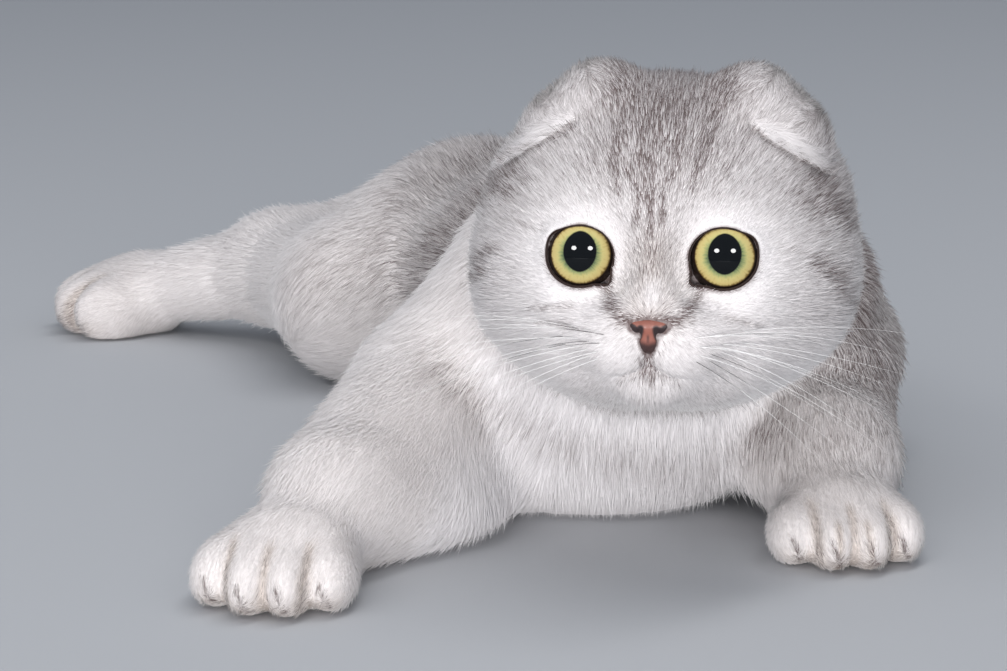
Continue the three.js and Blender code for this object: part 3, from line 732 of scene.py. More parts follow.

# %% [markdown]
# ## How dark and how warm
# One function gives both values for any point of the skin: the coat's own marks, and with them some painted
# shade in folds and on the side away from the light. The skin and the tufts ask it alike, so a mark is as
# sharp as the coat allows and never slides off its place.

# %% How dark and how warm
def marks_and_shade(p, normal, shares):
    """How dark and how warm the coat is at each point, from 0 to 1, painted shade included."""
    q = in_head(p)
    x, z = q[:, 0], q[:, 2]
    head = sum(shares[name] for name in ON_HEAD)
    front = ramp(-q[:, 1], -14, 6)
    strokes_and_shade = 1.2 * sum(stroke(x, z, *s) for s in STROKES) * front
    crown = 0.30 * ramp(-q[:, 1], 10, -14) + 0.24 * ramp(z, 4, 26) * ramp(26 - np.abs(x), -6, 10)
    # darker towards the outer cheeks; the extra dark on the left cheek is partly darker fur, partly painted
    # shade on the side away from the light
    crown = crown + (0.18 * ramp(np.abs(x), 26, 50) + 0.06 * ramp(x, 20, 50)) * ramp(z, -36, -8)
    crown = crown + 0.25 - 0.2 * ramp(np.abs(x), 14, 30) * ramp(-z, -12, 4)
    crown = crown + 0.16 * np.exp(-((x / 15) ** 2)) * ramp(z, -10, 4) + 0.02 * ramp(z, 14, 24)
    crown = crown * (1 - 0.55 * shares["ear"])
    ears = 0.22 * shares["ear"] + 0.22 * ramp(np.abs(x), 36, 47) * ramp(z, 24, 34)
    eye = eye_frame(q)
    turn = np.arctan2(eye[:, 2], eye[:, 0])
    pale = 1 - 0.75 * np.exp(-((size_of(eye + np.float32([0, 9, 0])) / 15) ** 4))
    soft_rim = 0.45 + 0.55 * ramp(-np.sin(turn), -0.6, 0.7)
    past_lid = np.maximum(lid_shape(eye[:, 0], eye[:, 2]), 0)
    liner = 0.95 * np.exp(-((past_lid / soft_rim) ** 2)) * ramp(-q[:, 1], 20, 26)
    muzzle_pale = 1 - 0.7 * np.exp(-((size_of((q - np.float32([0, -42, -30])) / [1.4, 1, 1]) / 15) ** 4))
    # painted shade: a thin dark line in the fold where the ear lies on the skull
    crease = np.exp(-((along_line(np.abs(x), z, CREASE) / 0.8) ** 2)) * ramp(-q[:, 1], 2, 9) * 0.9
    round_nose = 0.95 * np.exp(-((np.maximum(nose_form(q), 0) / 0.55) ** 2)) * ramp(-z, 20.5, 21.5)
    head_dark = np.clip((crown + ears) * pale * muzzle_pale + strokes_and_shade + liner + crease + round_nose, 0, 1)
    bridge = stroke(x, z, 0, -5, 0, -19, 7, 1.0) * front * (1 - stroke(x, z, 0.5, -13, 0.5, -15, 3.4, 0.9))
    head_dark = np.clip(head_dark * (1 - shares["fringe"]) + 0.36 * bridge, 0, 1)
    back = ramp(normal[:, 2], -0.35, 0.55)
    flank = 0.25 + 0.42 * back + 0.08 * ramp(p[:, 1], -10, 90)
    bars = np.sin(p[:, 1] / 9.5 + 1.6 * np.sin(p[:, 0] / 17) + p[:, 2] / 14)
    flank = flank + 0.2 * bars * (0.4 + 0.6 * back)
    chest = ramp(-p[:, 1], -2, 48) * ramp(normal[:, 2], 0.8, 0.3)
    # after the pale chest: the left shoulder darker, partly darker fur, partly painted shade on the side away
    # from the light
    flank = flank * (1 - 0.97 * chest) + 0.75 * ramp(p[:, 0], 22, 52) * ramp(p[:, 1], -46, 0)
    flank = flank * (1 - 0.45 * ramp(-p[:, 0], 20, 90) * ramp(p[:, 1], 40, 120))
    necklace = 0.3 * np.exp(-((along_line(p[:, 0], p[:, 2], NECKLACE) / 5.0) ** 2)) * ramp(-p[:, 1], 10, 30)
    hind = ramp(-p[:, 0], 50, 140) * ramp(p[:, 1], 90, 150)
    leg = 0.36 * (1 - 0.95 * hind) * ramp(normal[:, 2], -0.5, 0.6)
    right_arm = ramp(-p[:, 0], 20, 60) * ramp(-p[:, 1], -60, 10)
    # the left foreleg darker, most near the shoulder: partly darker fur, partly painted shade on the side
    # away from the light
    left_arm = ramp(p[:, 0], 24, 52) * ramp(p[:, 1], -62, -16)
    leg = leg * (1 - 0.75 * right_arm) + left_arm * (0.55 + 0.4 * ramp(p[:, 2], 38, 64))
    nape = 0.45 * ramp(p[:, 1], -66, -24) * ramp(normal[:, 2], -0.45, 0.35)
    # the left side of the neck darker: partly darker fur, partly painted shade on the side away from the
    # light
    nape = nape + 0.8 * ramp(p[:, 0], 22, 46) * ramp(p[:, 1], -60, -25)
    slits, creases = foot_marks(p)
    foot = 0.04 + 0.10 * ramp(p[:, 1], 90, 150) + slits + 0.42 * creases
    dark = (
        head * head_dark + shares["trunk"] * flank + shares["ruff"] * nape + shares["leg"] * leg
        + (1 - head) * necklace + shares["foot"] * foot + shares["tail"] * (0.35 + 0.2 * back) + SPARSE
    )
    warm = head * (0.10 + 0.35 * bridge) + shares["leg"] * (0.22 + 0.1 * left_arm)
    warm = warm + shares["foot"] * (0.26 + 0.5 * creases) + 0.25 * shares["trunk"] * (1 - chest)
    return {"dark": np.clip(dark, 0, 1).astype(np.float32), "warm": np.clip(warm, 0, 1).astype(np.float32)}


skin_marks_and_shade = marks_and_shade(skin_points, skin_normals, shares)
for label, values in skin_marks_and_shade.items():
    store(skin_mesh, label, values)
print("dark from", skin_marks_and_shade["dark"].min().round(2), "to", skin_marks_and_shade["dark"].max().round(2))

# %% [markdown]
# ## Shader maths
# A small class wraps a socket, so that a pattern can be written as an expression. The same class serves the
# trees that plant the coat and draw the whiskers.

# %% Sockets as numbers
def sum_node(operation, reflected=False):
    """A method that adds the node of one kind of sum. Reflected, the number stands before the wire."""
    def work(self, other):
        a, b = (other, self) if reflected else (self, other)
        return node(self.tree, "ShaderNodeMath", {"operation": operation}, {0: a, 1: b})
    return work


class Wire:
    """A socket of a tree that can be used in sums."""

    def __init__(self, tree, socket):
        self.tree, self.socket = tree, socket

    __add__ = __radd__ = sum_node("ADD")
    __mul__ = __rmul__ = sum_node("MULTIPLY")
    __sub__, __rsub__ = sum_node("SUBTRACT"), sum_node("SUBTRACT", reflected=True)
    __truediv__, __rtruediv__ = sum_node("DIVIDE"), sum_node("DIVIDE", reflected=True)
    __pow__, __rpow__ = sum_node("POWER"), sum_node("POWER", reflected=True)

    def clipped(self):
        return node(self.tree, "ShaderNodeClamp", {}, {"Value": self})

    def between(self, low, high):
        return node(self.tree, "ShaderNodeMapRange", {"interpolation_type": "SMOOTHSTEP"},
                    {"Value": self, "From Min": low, "From Max": high})


def node(tree, kind, settings, values, output=0):
    """Adds a node, sets it, then fills or links its sockets."""
    made = tree.nodes.new(kind)
    for key, value in settings.items():
        if key == "stops":
            elements = made.color_ramp.elements
            while len(elements) < len(value):
                elements.new(0.5)
            for element, (at, colour) in zip(elements, value):
                element.position, element.color = at, (*colour, 1)
        else:
            setattr(made, key, value)
    for key, value in values.items():
        socket = made.inputs[key]
        if isinstance(value, Wire):
            tree.links.new(value.socket, socket)
        else:
            socket.default_value = (*value, 1) if socket.type == "RGBA" else value
    return Wire(tree, made.outputs[output])


print("wires ready")

# %% Colours and finishes
def mix(tree, share, a, b):
    """One colour into another by share. Sockets 6 and 7 take colours, and outlet 2 gives one."""
    return node(tree, "ShaderNodeMix", {"data_type": "RGBA"}, {0: share, 6: a, 7: b}, 2)


def attribute(tree, name):
    return node(tree, "ShaderNodeAttribute", {"attribute_name": name}, {}, 2)


def object_place(tree):
    return node(tree, "ShaderNodeTexCoord", {}, {}, 3)


def noise(tree, scale, detail, vector=None):
    at = vector or object_place(tree)
    return node(tree, "ShaderNodeTexNoise", {}, {"Vector": at, "Scale": scale, "Detail": detail})


def new_material(name, **sockets):
    """A finish whose constants are set on the sockets of its shader."""
    material = bpy.data.materials.new(name)
    material.use_nodes = True
    tree = material.node_tree
    shader = tree.nodes["Principled BSDF"]
    for key, value in sockets.items():
        shader.inputs[key.replace("_", " ")].default_value = value
    return material, tree, shader


def feed(shader, socket, wire):
    wire.tree.links.new(wire.socket, shader.inputs[socket])


print("shader helpers ready")

# %% [markdown]
# ## Coat colour
# Both the skin and the tufts read the same two values, so that where the tufts are thin the same colour shows
# through. A tuft is white at its root and takes its dark colour towards the tip.

# %% Coat materials
WHITE, CREAM, ASH = (0.915, 0.88, 0.892), (0.80, 0.69, 0.60), (0.135, 0.096, 0.092)
BLACK = (0.0, 0.0, 0.0)


def coat_colour(tree, dark, warm, shade):
    light = mix(tree, warm, WHITE, CREAM)
    return mix(tree, shade, mix(tree, dark, light, ASH), BLACK)


fur_material, tree, shader = new_material(
    "plush_fur", Roughness=0.62, Sheen_Weight=0.3, Sheen_Roughness=0.5, Specular_IOR_Level=0.25)
tip = attribute(tree, "tip")
luck = attribute(tree, "luck")
banded = (tip.between(0.1, 0.85) * 0.8 + 0.4) * (0.45 + 1.65 * luck * luck)
dark = (attribute(tree, "dark") * banded * 1.15).clipped()
root_shade = (1 - tip.between(0.0, 0.5)) * 0.04
feed(shader, "Base Color", coat_colour(tree, dark, attribute(tree, "warm") * 0.8, root_shade))

skin_material, tree, shader = new_material("undercoat", Roughness=0.85, Specular_IOR_Level=0.15)
grain = noise(tree, 900, 4.0)
dark = (attribute(tree, "dark") * (0.55 + 0.7 * grain)).clipped()
feed(shader, "Base Color", coat_colour(tree, dark, attribute(tree, "warm"), 0.1 * grain))
feed(shader, "Normal", node(tree, "ShaderNodeBump", {}, {
    "Strength": 0.5, "Distance": 0.0004, "Height": grain}))
skin_mesh.materials.append(skin_material)
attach(skin, "root")
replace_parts(skin, *[n for n in NODES if n not in EYES + ["nose"]])
print("skin stands for", len(NODES) - 3, "solids")

# %% [markdown]
# ## Roots of the coat
# Roots are scattered over the skin by area and then thinned on a fine grid, which leaves them evenly spaced
# but not in rows.

# %% Scatter the roots
COAT_SEED = 41
OVERSOWN = 2.6  # how many times more roots are scattered than the grid has room for
CELL_KEYS = np.array([73856093, 19349663, 83492791])  # large primes, which give each cell a number of its own
rng = np.random.default_rng(COAT_SEED)
skin_mesh.calc_loop_triangles()
tri = read(skin_mesh.loop_triangles, "vertices", np.int32, 3)
tri_loops = read(skin_mesh.loop_triangles, "loops", np.int32, 3)
uv = read(skin_mesh.uv_layers["OFBake"].data, "uv", np.float32, 2)
p0, p1, p2 = (skin_points[tri[:, i]] for i in range(3))
area = size_of(np.cross(p1 - p0, p2 - p0)) / 2


def mixed(shares, column):
    """A column of the table of regions, mixed by how much of each region a point belongs to."""
    return sum(share * REGIONS[name][column] for name, share in shares.items())


THIN = 1.0
tri_spacing = mixed(shares, 1)[tri].mean(1) * THIN
picks = rng.random(len(tri)) + area / tri_spacing ** 2 * OVERSOWN
picks = np.repeat(np.arange(len(tri)), picks.astype(int))
b = rng.random((len(picks), 2)).astype(np.float32)
b = np.where(b.sum(1, keepdims=True) > 1, 1 - b, b)
bary = np.stack([1 - b[:, 0] - b[:, 1], b[:, 0], b[:, 1]], -1)
roots = np.einsum("ij,ijk->ik", bary, skin_points[tri[picks]])
cell = np.floor(roots / tri_spacing[picks][:, None]).astype(np.int64)
key = np.bitwise_xor.reduce(cell * CELL_KEYS, axis=1)
order = rng.permutation(len(key))
_, first = np.unique(key[order], return_index=True)
keep = order[first]
eye = eye_frame(in_head(roots[keep]))
in_lids = (lid_shape(eye[:, 0], eye[:, 2]) < 0.5) & (eye[:, 1] < 2)
on_nose = nose_form(in_head(roots[keep])) < 0.5
keep = keep[~(in_lids | on_nose) & (roots[keep, 2] > 1.2)]
roots, bary, picks = roots[keep], bary[keep], picks[keep]

root_normal = unit(np.einsum("ij,ijk->ik", bary, skin_normals[tri[picks]]))
root_uv = np.einsum("ij,ijk->ik", bary, uv[tri_loops[picks]])
root_shares = region_shares(roots)
root_on_head = sum(root_shares[name] for name in ON_HEAD)
root_lie = lie_of(roots, root_normal, root_on_head)
root_marks_and_shade = marks_and_shade(roots, root_normal, root_shares)
print("roots", len(roots))

# %% [markdown]
# ## Tufts
# A tuft is a thin, three-sided spike. Nearly all are straight and short, with four faces. A few longer guard
# hairs bend towards the skin and stand a little out of the coat. Geometry Nodes set a copy of one or the
# other on each root, turned along its lie and stretched to its length. The copies are then made real,
# because a finished piece holds plain faces.

# %% One tuft
def tuft_mesh(name, rings, bend):
    """A spike one unit long and one wide along Y, with its back to +Z."""
    points, tips = [], []
    for t in rings:
        width = 0.5 * (1 - t) ** 0.7
        lift = bend * t * (1 - t)
        for k in range(3):
            angle = 2 * math.pi * (k / 3 + 0.25)
            points.append((width * math.cos(angle), t, lift + width * math.sin(angle)))
            tips.append(t)
    points.append((0, 1, 0))
    tips.append(1.0)
    faces = [(0, 1, 2)]
    for r in range(len(rings) - 1):
        for k in range(3):
            a, b = 3 * r + k, 3 * r + (k + 1) % 3
            faces += [(a, b, b + 3), (a, b + 3, a + 3)]
    last = 3 * (len(rings) - 1)
    faces += [(last + k, last + (k + 1) % 3, last + 3) for k in range(3)]
    mesh = bpy.data.meshes.new(name)
    mesh.from_pydata(points, [], faces)
    rework(mesh, make_sound)
    store(mesh, "tip", tips)
    mesh.shade_smooth()
    return mesh


TUFTS = {"short": tuft_mesh("short_tuft", [0.0], 0.0), "long": tuft_mesh("long_tuft", [0.0, 0.45], 0.42)}
print({name: len(mesh.polygons) for name, mesh in TUFTS.items()}, "faces a tuft")

# %% Geometry Nodes that plant tufts
def new_tree(name, **given):
    """An empty tree, with a wire from each of its named inputs."""
    tree = bpy.data.node_groups.new(name, "GeometryNodeTree")
    for label, kind in given.items():
        tree.interface.new_socket(label, in_out="INPUT", socket_type="NodeSocket" + kind)
    tree.interface.new_socket("Piece", in_out="OUTPUT", socket_type="NodeSocketGeometry")
    start = tree.nodes.new("NodeGroupInput")
    return tree, [Wire(tree, start.outputs[label]) for label in given]


def close_tree(tree, shape, finish):
    """Makes the copies real, gives them their finish and hands them out."""
    real = node(tree, "GeometryNodeRealizeInstances", {}, {"Geometry": shape})
    done = node(tree, "GeometryNodeSetMaterial", {}, {"Geometry": real, "Material": finish})
    tree.links.new(done.socket, tree.nodes.new("NodeGroupOutput").inputs["Piece"])
    return tree


def stored(tree, shape, label, values):
    return node(tree, "GeometryNodeStoreNamedAttribute", {"data_type": "FLOAT", "domain": "POINT"},
                {"Geometry": shape, "Name": label, "Value": values})


def arrow(tree, name):
    return node(tree, "GeometryNodeInputNamedAttribute", {"data_type": "FLOAT_VECTOR"}, {"Name": name})


def plant_tree():
    tree, (roots_, tuft, finish, seed) = new_tree(
        "plant_tufts", Roots="Geometry", Tuft="Object", Finish="Material", Seed="Int")
    align = "FunctionNodeAlignRotationToVector"
    upright = node(tree, align, {"axis": "Z"}, {"Vector": arrow(tree, "rise")})
    turned = node(tree, align, {"axis": "Y", "pivot_axis": "Z"},
                  {"Rotation": upright, "Vector": arrow(tree, "lie")})
    source = node(tree, "GeometryNodeObjectInfo", {}, {"Object": tuft}, "Geometry")
    luck = node(tree, "FunctionNodeRandomValue", {"data_type": "FLOAT"}, {2: 0.0, 3: 1.0, "Seed": seed}, 1)
    planted = node(tree, "GeometryNodeInstanceOnPoints", {}, {
        "Points": stored(tree, roots_, "luck", luck), "Instance": source,
        "Rotation": turned, "Scale": arrow(tree, "stretch")})
    return close_tree(tree, planted, finish)


def grow(thing, tree, name, **given):
    """Runs a tree once on an object, which then holds plain faces and no modifier."""
    start = thing.data
    modifier = thing.modifiers.new("grow", "NODES")
    modifier.node_group = tree
    sockets = {s.name: s.identifier for s in tree.interface.items_tree if s.in_out == "INPUT"}
    for label, value in given.items():
        modifier[sockets[label]] = value
    done = bpy.data.meshes.new_from_object(thing.evaluated_get(bpy.context.evaluated_depsgraph_get()))
    thing.modifiers.clear()
    thing.data = done
    done.name = name
    bpy.data.meshes.remove(start)
    return done


PLANT = plant_tree()
SOURCES = {name: bpy.data.objects.new(name + "_source", mesh) for name, mesh in TUFTS.items()}
print("tree", PLANT.name, "with", len(PLANT.nodes), "nodes")

# %% [markdown]
# ## Planting
# Every root gets its length, width and slant from its region and from chance. Where the head meets the
# chest the hair is longer and stands up more, so that no edge shows, and no tuft goes through the floor.

# %% Length, slant and lie of every tuft
SPREAD = {"length": (0.72, 1.18), "width": (0.8, 1.25), "slant": (0.55, 1.4)}  # least and most, by chance
DRIFT = 0.11  # how far tufts lie aside of each other
GUARD = {"share": 0.11, "longer": 1.12, "raised": 1.35}  # the bent hairs that stand a little out of the coat
BORDER = {"breadth": 18, "longer": 0.9, "raised": 0.7}  # the hair where head and chest meet
by_eye = 0.5 + 0.5 * ramp(size_of(eye_frame(in_head(roots)) + np.float32([0, 8, 0])), 10, 17)
by_chin = 1 + 1.3 * np.exp(-((size_of(in_head(roots) - np.float32([0, -42, -46])) / 8) ** 2))
length = mixed(root_shares, 0) * rng.uniform(*SPREAD["length"], len(roots)) * by_eye * by_chin
width = mixed(root_shares, 2) * rng.uniform(*SPREAD["width"], len(roots)) * (1 + 0.4 * (THIN - 1))
slant = np.radians(mixed(root_shares, 3) * rng.uniform(*SPREAD["slant"], len(roots)))
on_head = np.clip(root_on_head, 1e-4, 1 - 1e-4)
border_off = MIXED_OVER * np.log(on_head / (1 - on_head))  # millimetres from where head and chest meet
at_border = np.exp(-((border_off / BORDER["breadth"]) ** 2))
length = length * (1 + BORDER["longer"] * at_border)
slant = slant * (1 + BORDER["raised"] * at_border)
lit_normal = unit(root_normal + 0.9 * at_border[:, None] * np.float32([-0.1, -1, 0.1]))
smooth_part = sum(root_shares[name] for name in ("face", "ear", "foot", "fringe")) > 0.5
guard = (rng.random(len(roots)) < GUARD["share"]) & ~smooth_part
length = np.where(guard, length * GUARD["longer"], length)
slant = np.where(guard, slant * GUARD["raised"], slant)
drift = rng.normal(0, DRIFT, len(roots))
lie = unit(root_lie + np.cross(root_normal, root_lie) * drift[:, None])
way = unit(lie * np.cos(slant)[:, None] + root_normal * np.sin(slant)[:, None])
rise = unit(root_normal * np.cos(slant)[:, None] - lie * np.sin(slant)[:, None])
LOWEST = 0.6  # no tuft reaches lower than this over the floor
low = ((roots[:, 2] + way[:, 2] * length) < LOWEST) & (way[:, 2] < 0)
to_floor = np.maximum((roots[:, 2] - LOWEST) / np.maximum(-way[:, 2], 1e-3), 0.6)
length = np.where(low, np.minimum(to_floor, length), length)
stretch = np.stack([width, length, width], -1)
print("guard hairs", int(guard.sum()), "longest tuft", round(float(length.max()), 1), "mm")

# %% Plant the coat
SOFTNESS = {"own": 0.35, "skin": 0.85}  # a tuft is lit partly as the skin under it, as dense fur is
PATCH = 0.003  # the breadth of a tuft's place in the unwrap


def plant(name, which, chosen, seed):
    """One piece of coat on the chosen roots, each tuft with a small patch of the unwrap at its root."""
    mesh = bpy.data.meshes.new(name + "_roots")
    mesh.from_pydata(in_metres(roots[chosen]).tolist(), [], [])
    arrows = {"lie": way, "rise": rise, "stretch": stretch / 1000}
    for label, vectors in arrows.items():
        store(mesh, label, vectors[chosen], "FLOAT_VECTOR")
    for label, values in root_marks_and_shade.items():
        store(mesh, label, values[chosen])
    thing = bpy.data.objects.new(name, mesh)
    bpy.context.collection.objects.link(thing)
    done = grow(thing, PLANT, name, Tuft=SOURCES[which], Finish=fur_material, Seed=seed)
    for label in arrows:
        if label in done.attributes:
            done.attributes.remove(done.attributes[label])
    own = read(done.vertices, "normal", np.float32, 3).reshape(len(chosen), -1, 3)
    done.normals_split_custom_set_from_vertices(
        unit(own * SOFTNESS["own"] + lit_normal[chosen][:, None] * SOFTNESS["skin"]).reshape(-1, 3))
    source = TUFTS[which]
    corners = [source.vertices[loop.vertex_index].co for loop in source.loops]
    shape = np.array([[co.x, co.y - 0.5] for co in corners], np.float32)
    patch = (root_uv[chosen][:, None] + shape[None] * PATCH).reshape(-1, 2)
    layer = done.uv_layers.new(name="OFBake")
    layer.data.foreach_set("uv", np.clip(patch, 0, 1).astype(np.float32).ravel())
    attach(thing, "root")
    return thing


TUFT_SEED = 7
MOST = {"short": 45000, "long": 19000}  # tufts in one piece, so that no piece grows too heavy
coat_faces = 0
for which, mask in (("short", ~guard), ("long", guard)):
    ids = np.flatnonzero(mask)
    ids = ids[np.argsort(roots[ids, 1], kind="stable")]
    for n, part in enumerate(np.array_split(ids, max(1, math.ceil(len(ids) / MOST[which])))):
        thing = plant(f"coat_{which}_{n + 1}", which, part, TUFT_SEED + n)
        coat_faces += len(thing.data.polygons)
        print(thing.name, len(part), "tufts", len(thing.data.polygons), "faces")
print("coat faces", coat_faces)

# %% [markdown]
# ## Eyes
# The eye is a ball with the bulge of the cornea. The iris is yellow with a green ring round the pupil and
# fine fibres that run outwards, and the rim beyond it is nearly black.

# %% The form of an eye
def lathe(profile, around):
    """Points and faces of a closed shape turned about Y, from (distance from the axis, place along it)."""
    points, faces = [(0, profile[0][1], 0)], []
    rings = profile[1:-1]
    for r, y in rings:
        points += [(r * math.cos(a), y, r * math.sin(a)) for a in 2 * math.pi * np.arange(around) / around]
    points.append((0, profile[-1][1], 0))

    def ring(i, k):
        return 1 + i * around + k % around

    for k in range(around):
        faces.append((0, ring(0, k), ring(0, k + 1)))
        faces += [(ring(i, k), ring(i + 1, k), ring(i + 1, k + 1), ring(i, k + 1))
                  for i in range(len(rings) - 1)]
        faces.append((len(points) - 1, ring(len(rings) - 1, k + 1), ring(len(rings) - 1, k)))
    return np.float32(points), faces


profile = []
mid = -EYE["cornea_ahead"]
for a in np.linspace(0, math.pi, 49):
    way_y, way_r = -math.cos(a), math.sin(a)
    root = mid * way_y
    bulge = root + math.sqrt(max(root * root - mid * mid + EYE["cornea"] ** 2, 0))
    away = max(EYE["ball"], bulge)
    profile.append((away * way_r, away * way_y))
profile[0], profile[-1] = (0, profile[0][1]), (0, profile[-1][1])
print("eye", round(profile[-1][1] - profile[0][1], 1), "mm deep")

# %% The colours of an eye
eye_material, tree, shader = new_material(
    "amber_eye", Roughness=0.3, Coat_Weight=1.0, Coat_Roughness=0.02, Coat_IOR=1.33, Specular_IOR_Level=0.0)
ex, ez = attribute(tree, "across"), attribute(tree, "up")
around_pupil = ((ex * ex / 20.5) ** 0.9 + ((ez - 0.6) * (ez - 0.6)) / 31.5) ** 0.5
out = (ex ** 2 + ez ** 2) ** 0.5
fibre_at = node(tree, "ShaderNodeCombineXYZ", {}, {0: ex / out * 5.0, 1: ez / out * 5.0, 2: out * 0.25})
fibres = noise(tree, 2.2, 5.0, fibre_at)
IRIS = [  # from the pupil to the rim
    (0.0, (0.10, 0.135, 0.07)), (0.22, (0.27, 0.30, 0.13)), (0.45, (0.50, 0.44, 0.18)),
    (0.85, (0.57, 0.45, 0.18)), (1.0, (0.24, 0.15, 0.05)),
]
iris = node(tree, "ShaderNodeValToRGB", {"stops": IRIS}, {"Fac": (out - 4.6) / 3.6 + (fibres - 0.5) * 0.5})
iris = mix(tree, (fibres.between(0.5, 0.75)) * 0.3, iris, (0.25, 0.2, 0.05))
iris = mix(tree, around_pupil.between(1.05, 0.98), iris, (0.002, 0.003, 0.004))
iris = mix(tree, out.between(7.9, 8.4), iris, (0.02, 0.012, 0.009))
feed(shader, "Base Color", iris)
print("iris", len(IRIS), "rings of colour")

# %% Both eyes
GAZE_ASIDE = {-1: -0.08, 1: 0.0}  # the eyes part a little
for side, name in zip((-1, 1), EYES):
    centre = from_head(np.float32(EYE_AT[side]))
    gaze = unit(np.float32(CAMERA_AT * 1000 - HOME) - centre)
    gaze = unit(gaze + np.float32([GAZE_ASIDE[side], 0, 0.03]))
    right = unit(np.cross(gaze, np.float32([0, 0, 1])))
    up = np.cross(right, gaze)
    local, faces = lathe(profile, 72)
    turned = local[:, :1] * -right - local[:, 1:2] * gaze + local[:, 2:] * up
    mesh = mesh_of("eyeball_" + name[4:], turned + centre, faces)
    here = corners_of(mesh) - centre
    store(mesh, "across", here @ right)
    store(mesh, "up", here @ up)
    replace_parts(place("eyeball_" + name[4:], mesh, eye_material), name)
print("eyes", EYES)

# %% [markdown]
# ## Lids
# The margin of each lid is bare, dark skin. It is a thin tube that follows the opening over the ball, with a
# point at the inner corner where the tear line starts.

# %% Lid margins
rim_material, tree, shader = new_material("lid_margin", Roughness=0.6, Specular_IOR_Level=0.15)
feed(shader, "Base Color", mix(tree, noise(tree, 700, 2.0), (0.012, 0.006, 0.005), (0.035, 0.019, 0.016)))


def onto_face(x, z):
    """How far ahead of the middle of the head the skin lies at a place seen from the front."""
    y = np.full(len(x), -62.0)
    for _ in range(60):
        y = y + 0.8 * face_form(np.float32(np.stack([x, y, z], -1)))
    return y


LID_TUBE = {"steps": 120, "around": 8, "ahead": 0.35}


def near_turn(a, degrees, breadth):
    """1 at a turn round the eye, and less with the distance from it."""
    return np.exp(-(((a - math.radians(degrees) + math.pi) % (2 * math.pi) - math.pi) / breadth) ** 2)


for side, name in zip((-1, 1), ("right", "left")):
    a = np.linspace(0, 2 * math.pi, LID_TUBE["steps"], endpoint=False)
    inner, outer = near_turn(a, 221, 0.3), near_turn(a, 20, 0.4)
    low = ramp(-np.sin(a), -0.5, 0.9)
    x, z = lid_edge(a) * np.cos(a), lid_edge(a) * np.sin(a)
    path = np.stack([EYE_AT[side][0] + side * x, np.zeros_like(a), EYE_AT[side][2] + z], -1)
    path[:, 1] = onto_face(path[:, 0], path[:, 2]) + LID_TUBE["ahead"]
    ahead = unit(np.roll(path, -1, 0) - np.roll(path, 1, 0))
    out_way = unit(np.stack([side * x, np.full_like(x, -6), z], -1))
    out_way = unit(out_way - ahead * np.einsum("ij,ij->i", out_way, ahead)[:, None])
    third = np.cross(ahead, out_way)
    turns = 2 * math.pi * np.arange(LID_TUBE["around"]) / LID_TUBE["around"]
    thick = (0.30 + 0.22 * low + 0.15 * inner + 0.10 * outer)[:, None, None]
    rings = path[:, None] + thick * (0.75 * np.cos(turns)[None, :, None] * out_way[:, None]
                                     + 1.0 * np.sin(turns)[None, :, None] * third[:, None])
    n, m = rings.shape[:2]
    faces = [
        (i * m + j, ((i + 1) % n) * m + j, ((i + 1) % n) * m + (j + 1) % m, i * m + (j + 1) % m)
        for i in range(n) for j in range(m)
    ]
    mesh = mesh_of("lid_margin_" + name, from_head(np.float32(rings.reshape(-1, 3))), faces)
    place("lid_margin_" + name, mesh, rim_material)
print("lid margins", 2)

# %% [markdown]
# ## Nose
# The nose leather is brick pink with a black edge, two comma-shaped nostrils and a groove down its middle. It
# is small and strongly curved, so it gets a grid of its own.

# %% Nose leather
def nose_here(p):
    return nose_form(in_head(p))


nose_centre = from_head(np.float32([0, -47, -25.5]))
NOSE_VOXEL, NOSE_ROOM = 0.36, 11
points, quads = level_mesh(nose_here, nose_centre - NOSE_ROOM, nose_centre + NOSE_ROOM, NOSE_VOXEL, reach=2.5)
nose_points, _ = settle(points, nose_here, 2)
nose_mesh = mesh_of("nose_leather", nose_points, quads)
nose_material, tree, shader = new_material("nose_leather", Roughness=0.5, Coat_Weight=0.08)
q = in_head(corners_of(nose_mesh))
hole_near = nostril(folded(q))
half = np.interp(-q[:, 2], [20, 21.0, 21.7, 22.4, 23.2, 26.2, 28.2, 30],
                 [4.9, 5.5, 5.2, 3.6, 2.5, 2.4, 1.9, 1.0])  # half the breadth of the leather, down the nose
store(nose_mesh, "edge", np.maximum.reduce([
    ramp(np.abs(q[:, 0]) / half, 0.82, 1.0),
    ramp(q[:, 2], -21.0, -20.4),
    # painted shade in the nostrils and in the groove down the middle, besides the black edge the leather has
    1 - ramp(hole_near, 0.15, 0.8),
    0.8 * np.exp(-((q[:, 0] / 0.3) ** 2)) * ramp(-q[:, 2], 24.2, 25.4),
    0.92 * ramp(-q[:, 2] + 0.25 * np.abs(q[:, 0]), 26.0, 28.2),
]))
pebble = node(tree, "ShaderNodeTexVoronoi", {}, {"Vector": object_place(tree), "Scale": 2200.0})
blotch = noise(tree, 260, 3.0)
pink = mix(tree, blotch, (0.23, 0.072, 0.050), (0.33, 0.125, 0.090))
feed(shader, "Base Color", mix(tree, attribute(tree, "edge"), pink, (0.022, 0.011, 0.012)))
feed(shader, "Normal", node(tree, "ShaderNodeBump", {}, {
    "Strength": 0.25, "Distance": 0.0002, "Height": pebble}))
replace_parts(place("nose_leather", nose_mesh, nose_material), "nose")
print("nose", len(nose_mesh.polygons), "faces")

# %% [markdown]
# ## Whiskers
# Whiskers grow in rows from the pads beside the nose, and a few more over the eyes. Each is a tapered tube
# along a curve that droops at its end.

# %% Whisker finish and tubes
whisker_material, tree, shader = new_material("whisker", Roughness=0.35)
along = attribute(tree, "along")
base_dark = attribute(tree, "base_dark")
grey = base_dark * along.between(0.42, 0.2)
feed(shader, "Base Color", mix(tree, grey, (0.85, 0.84, 0.83), (0.03, 0.022, 0.02)))


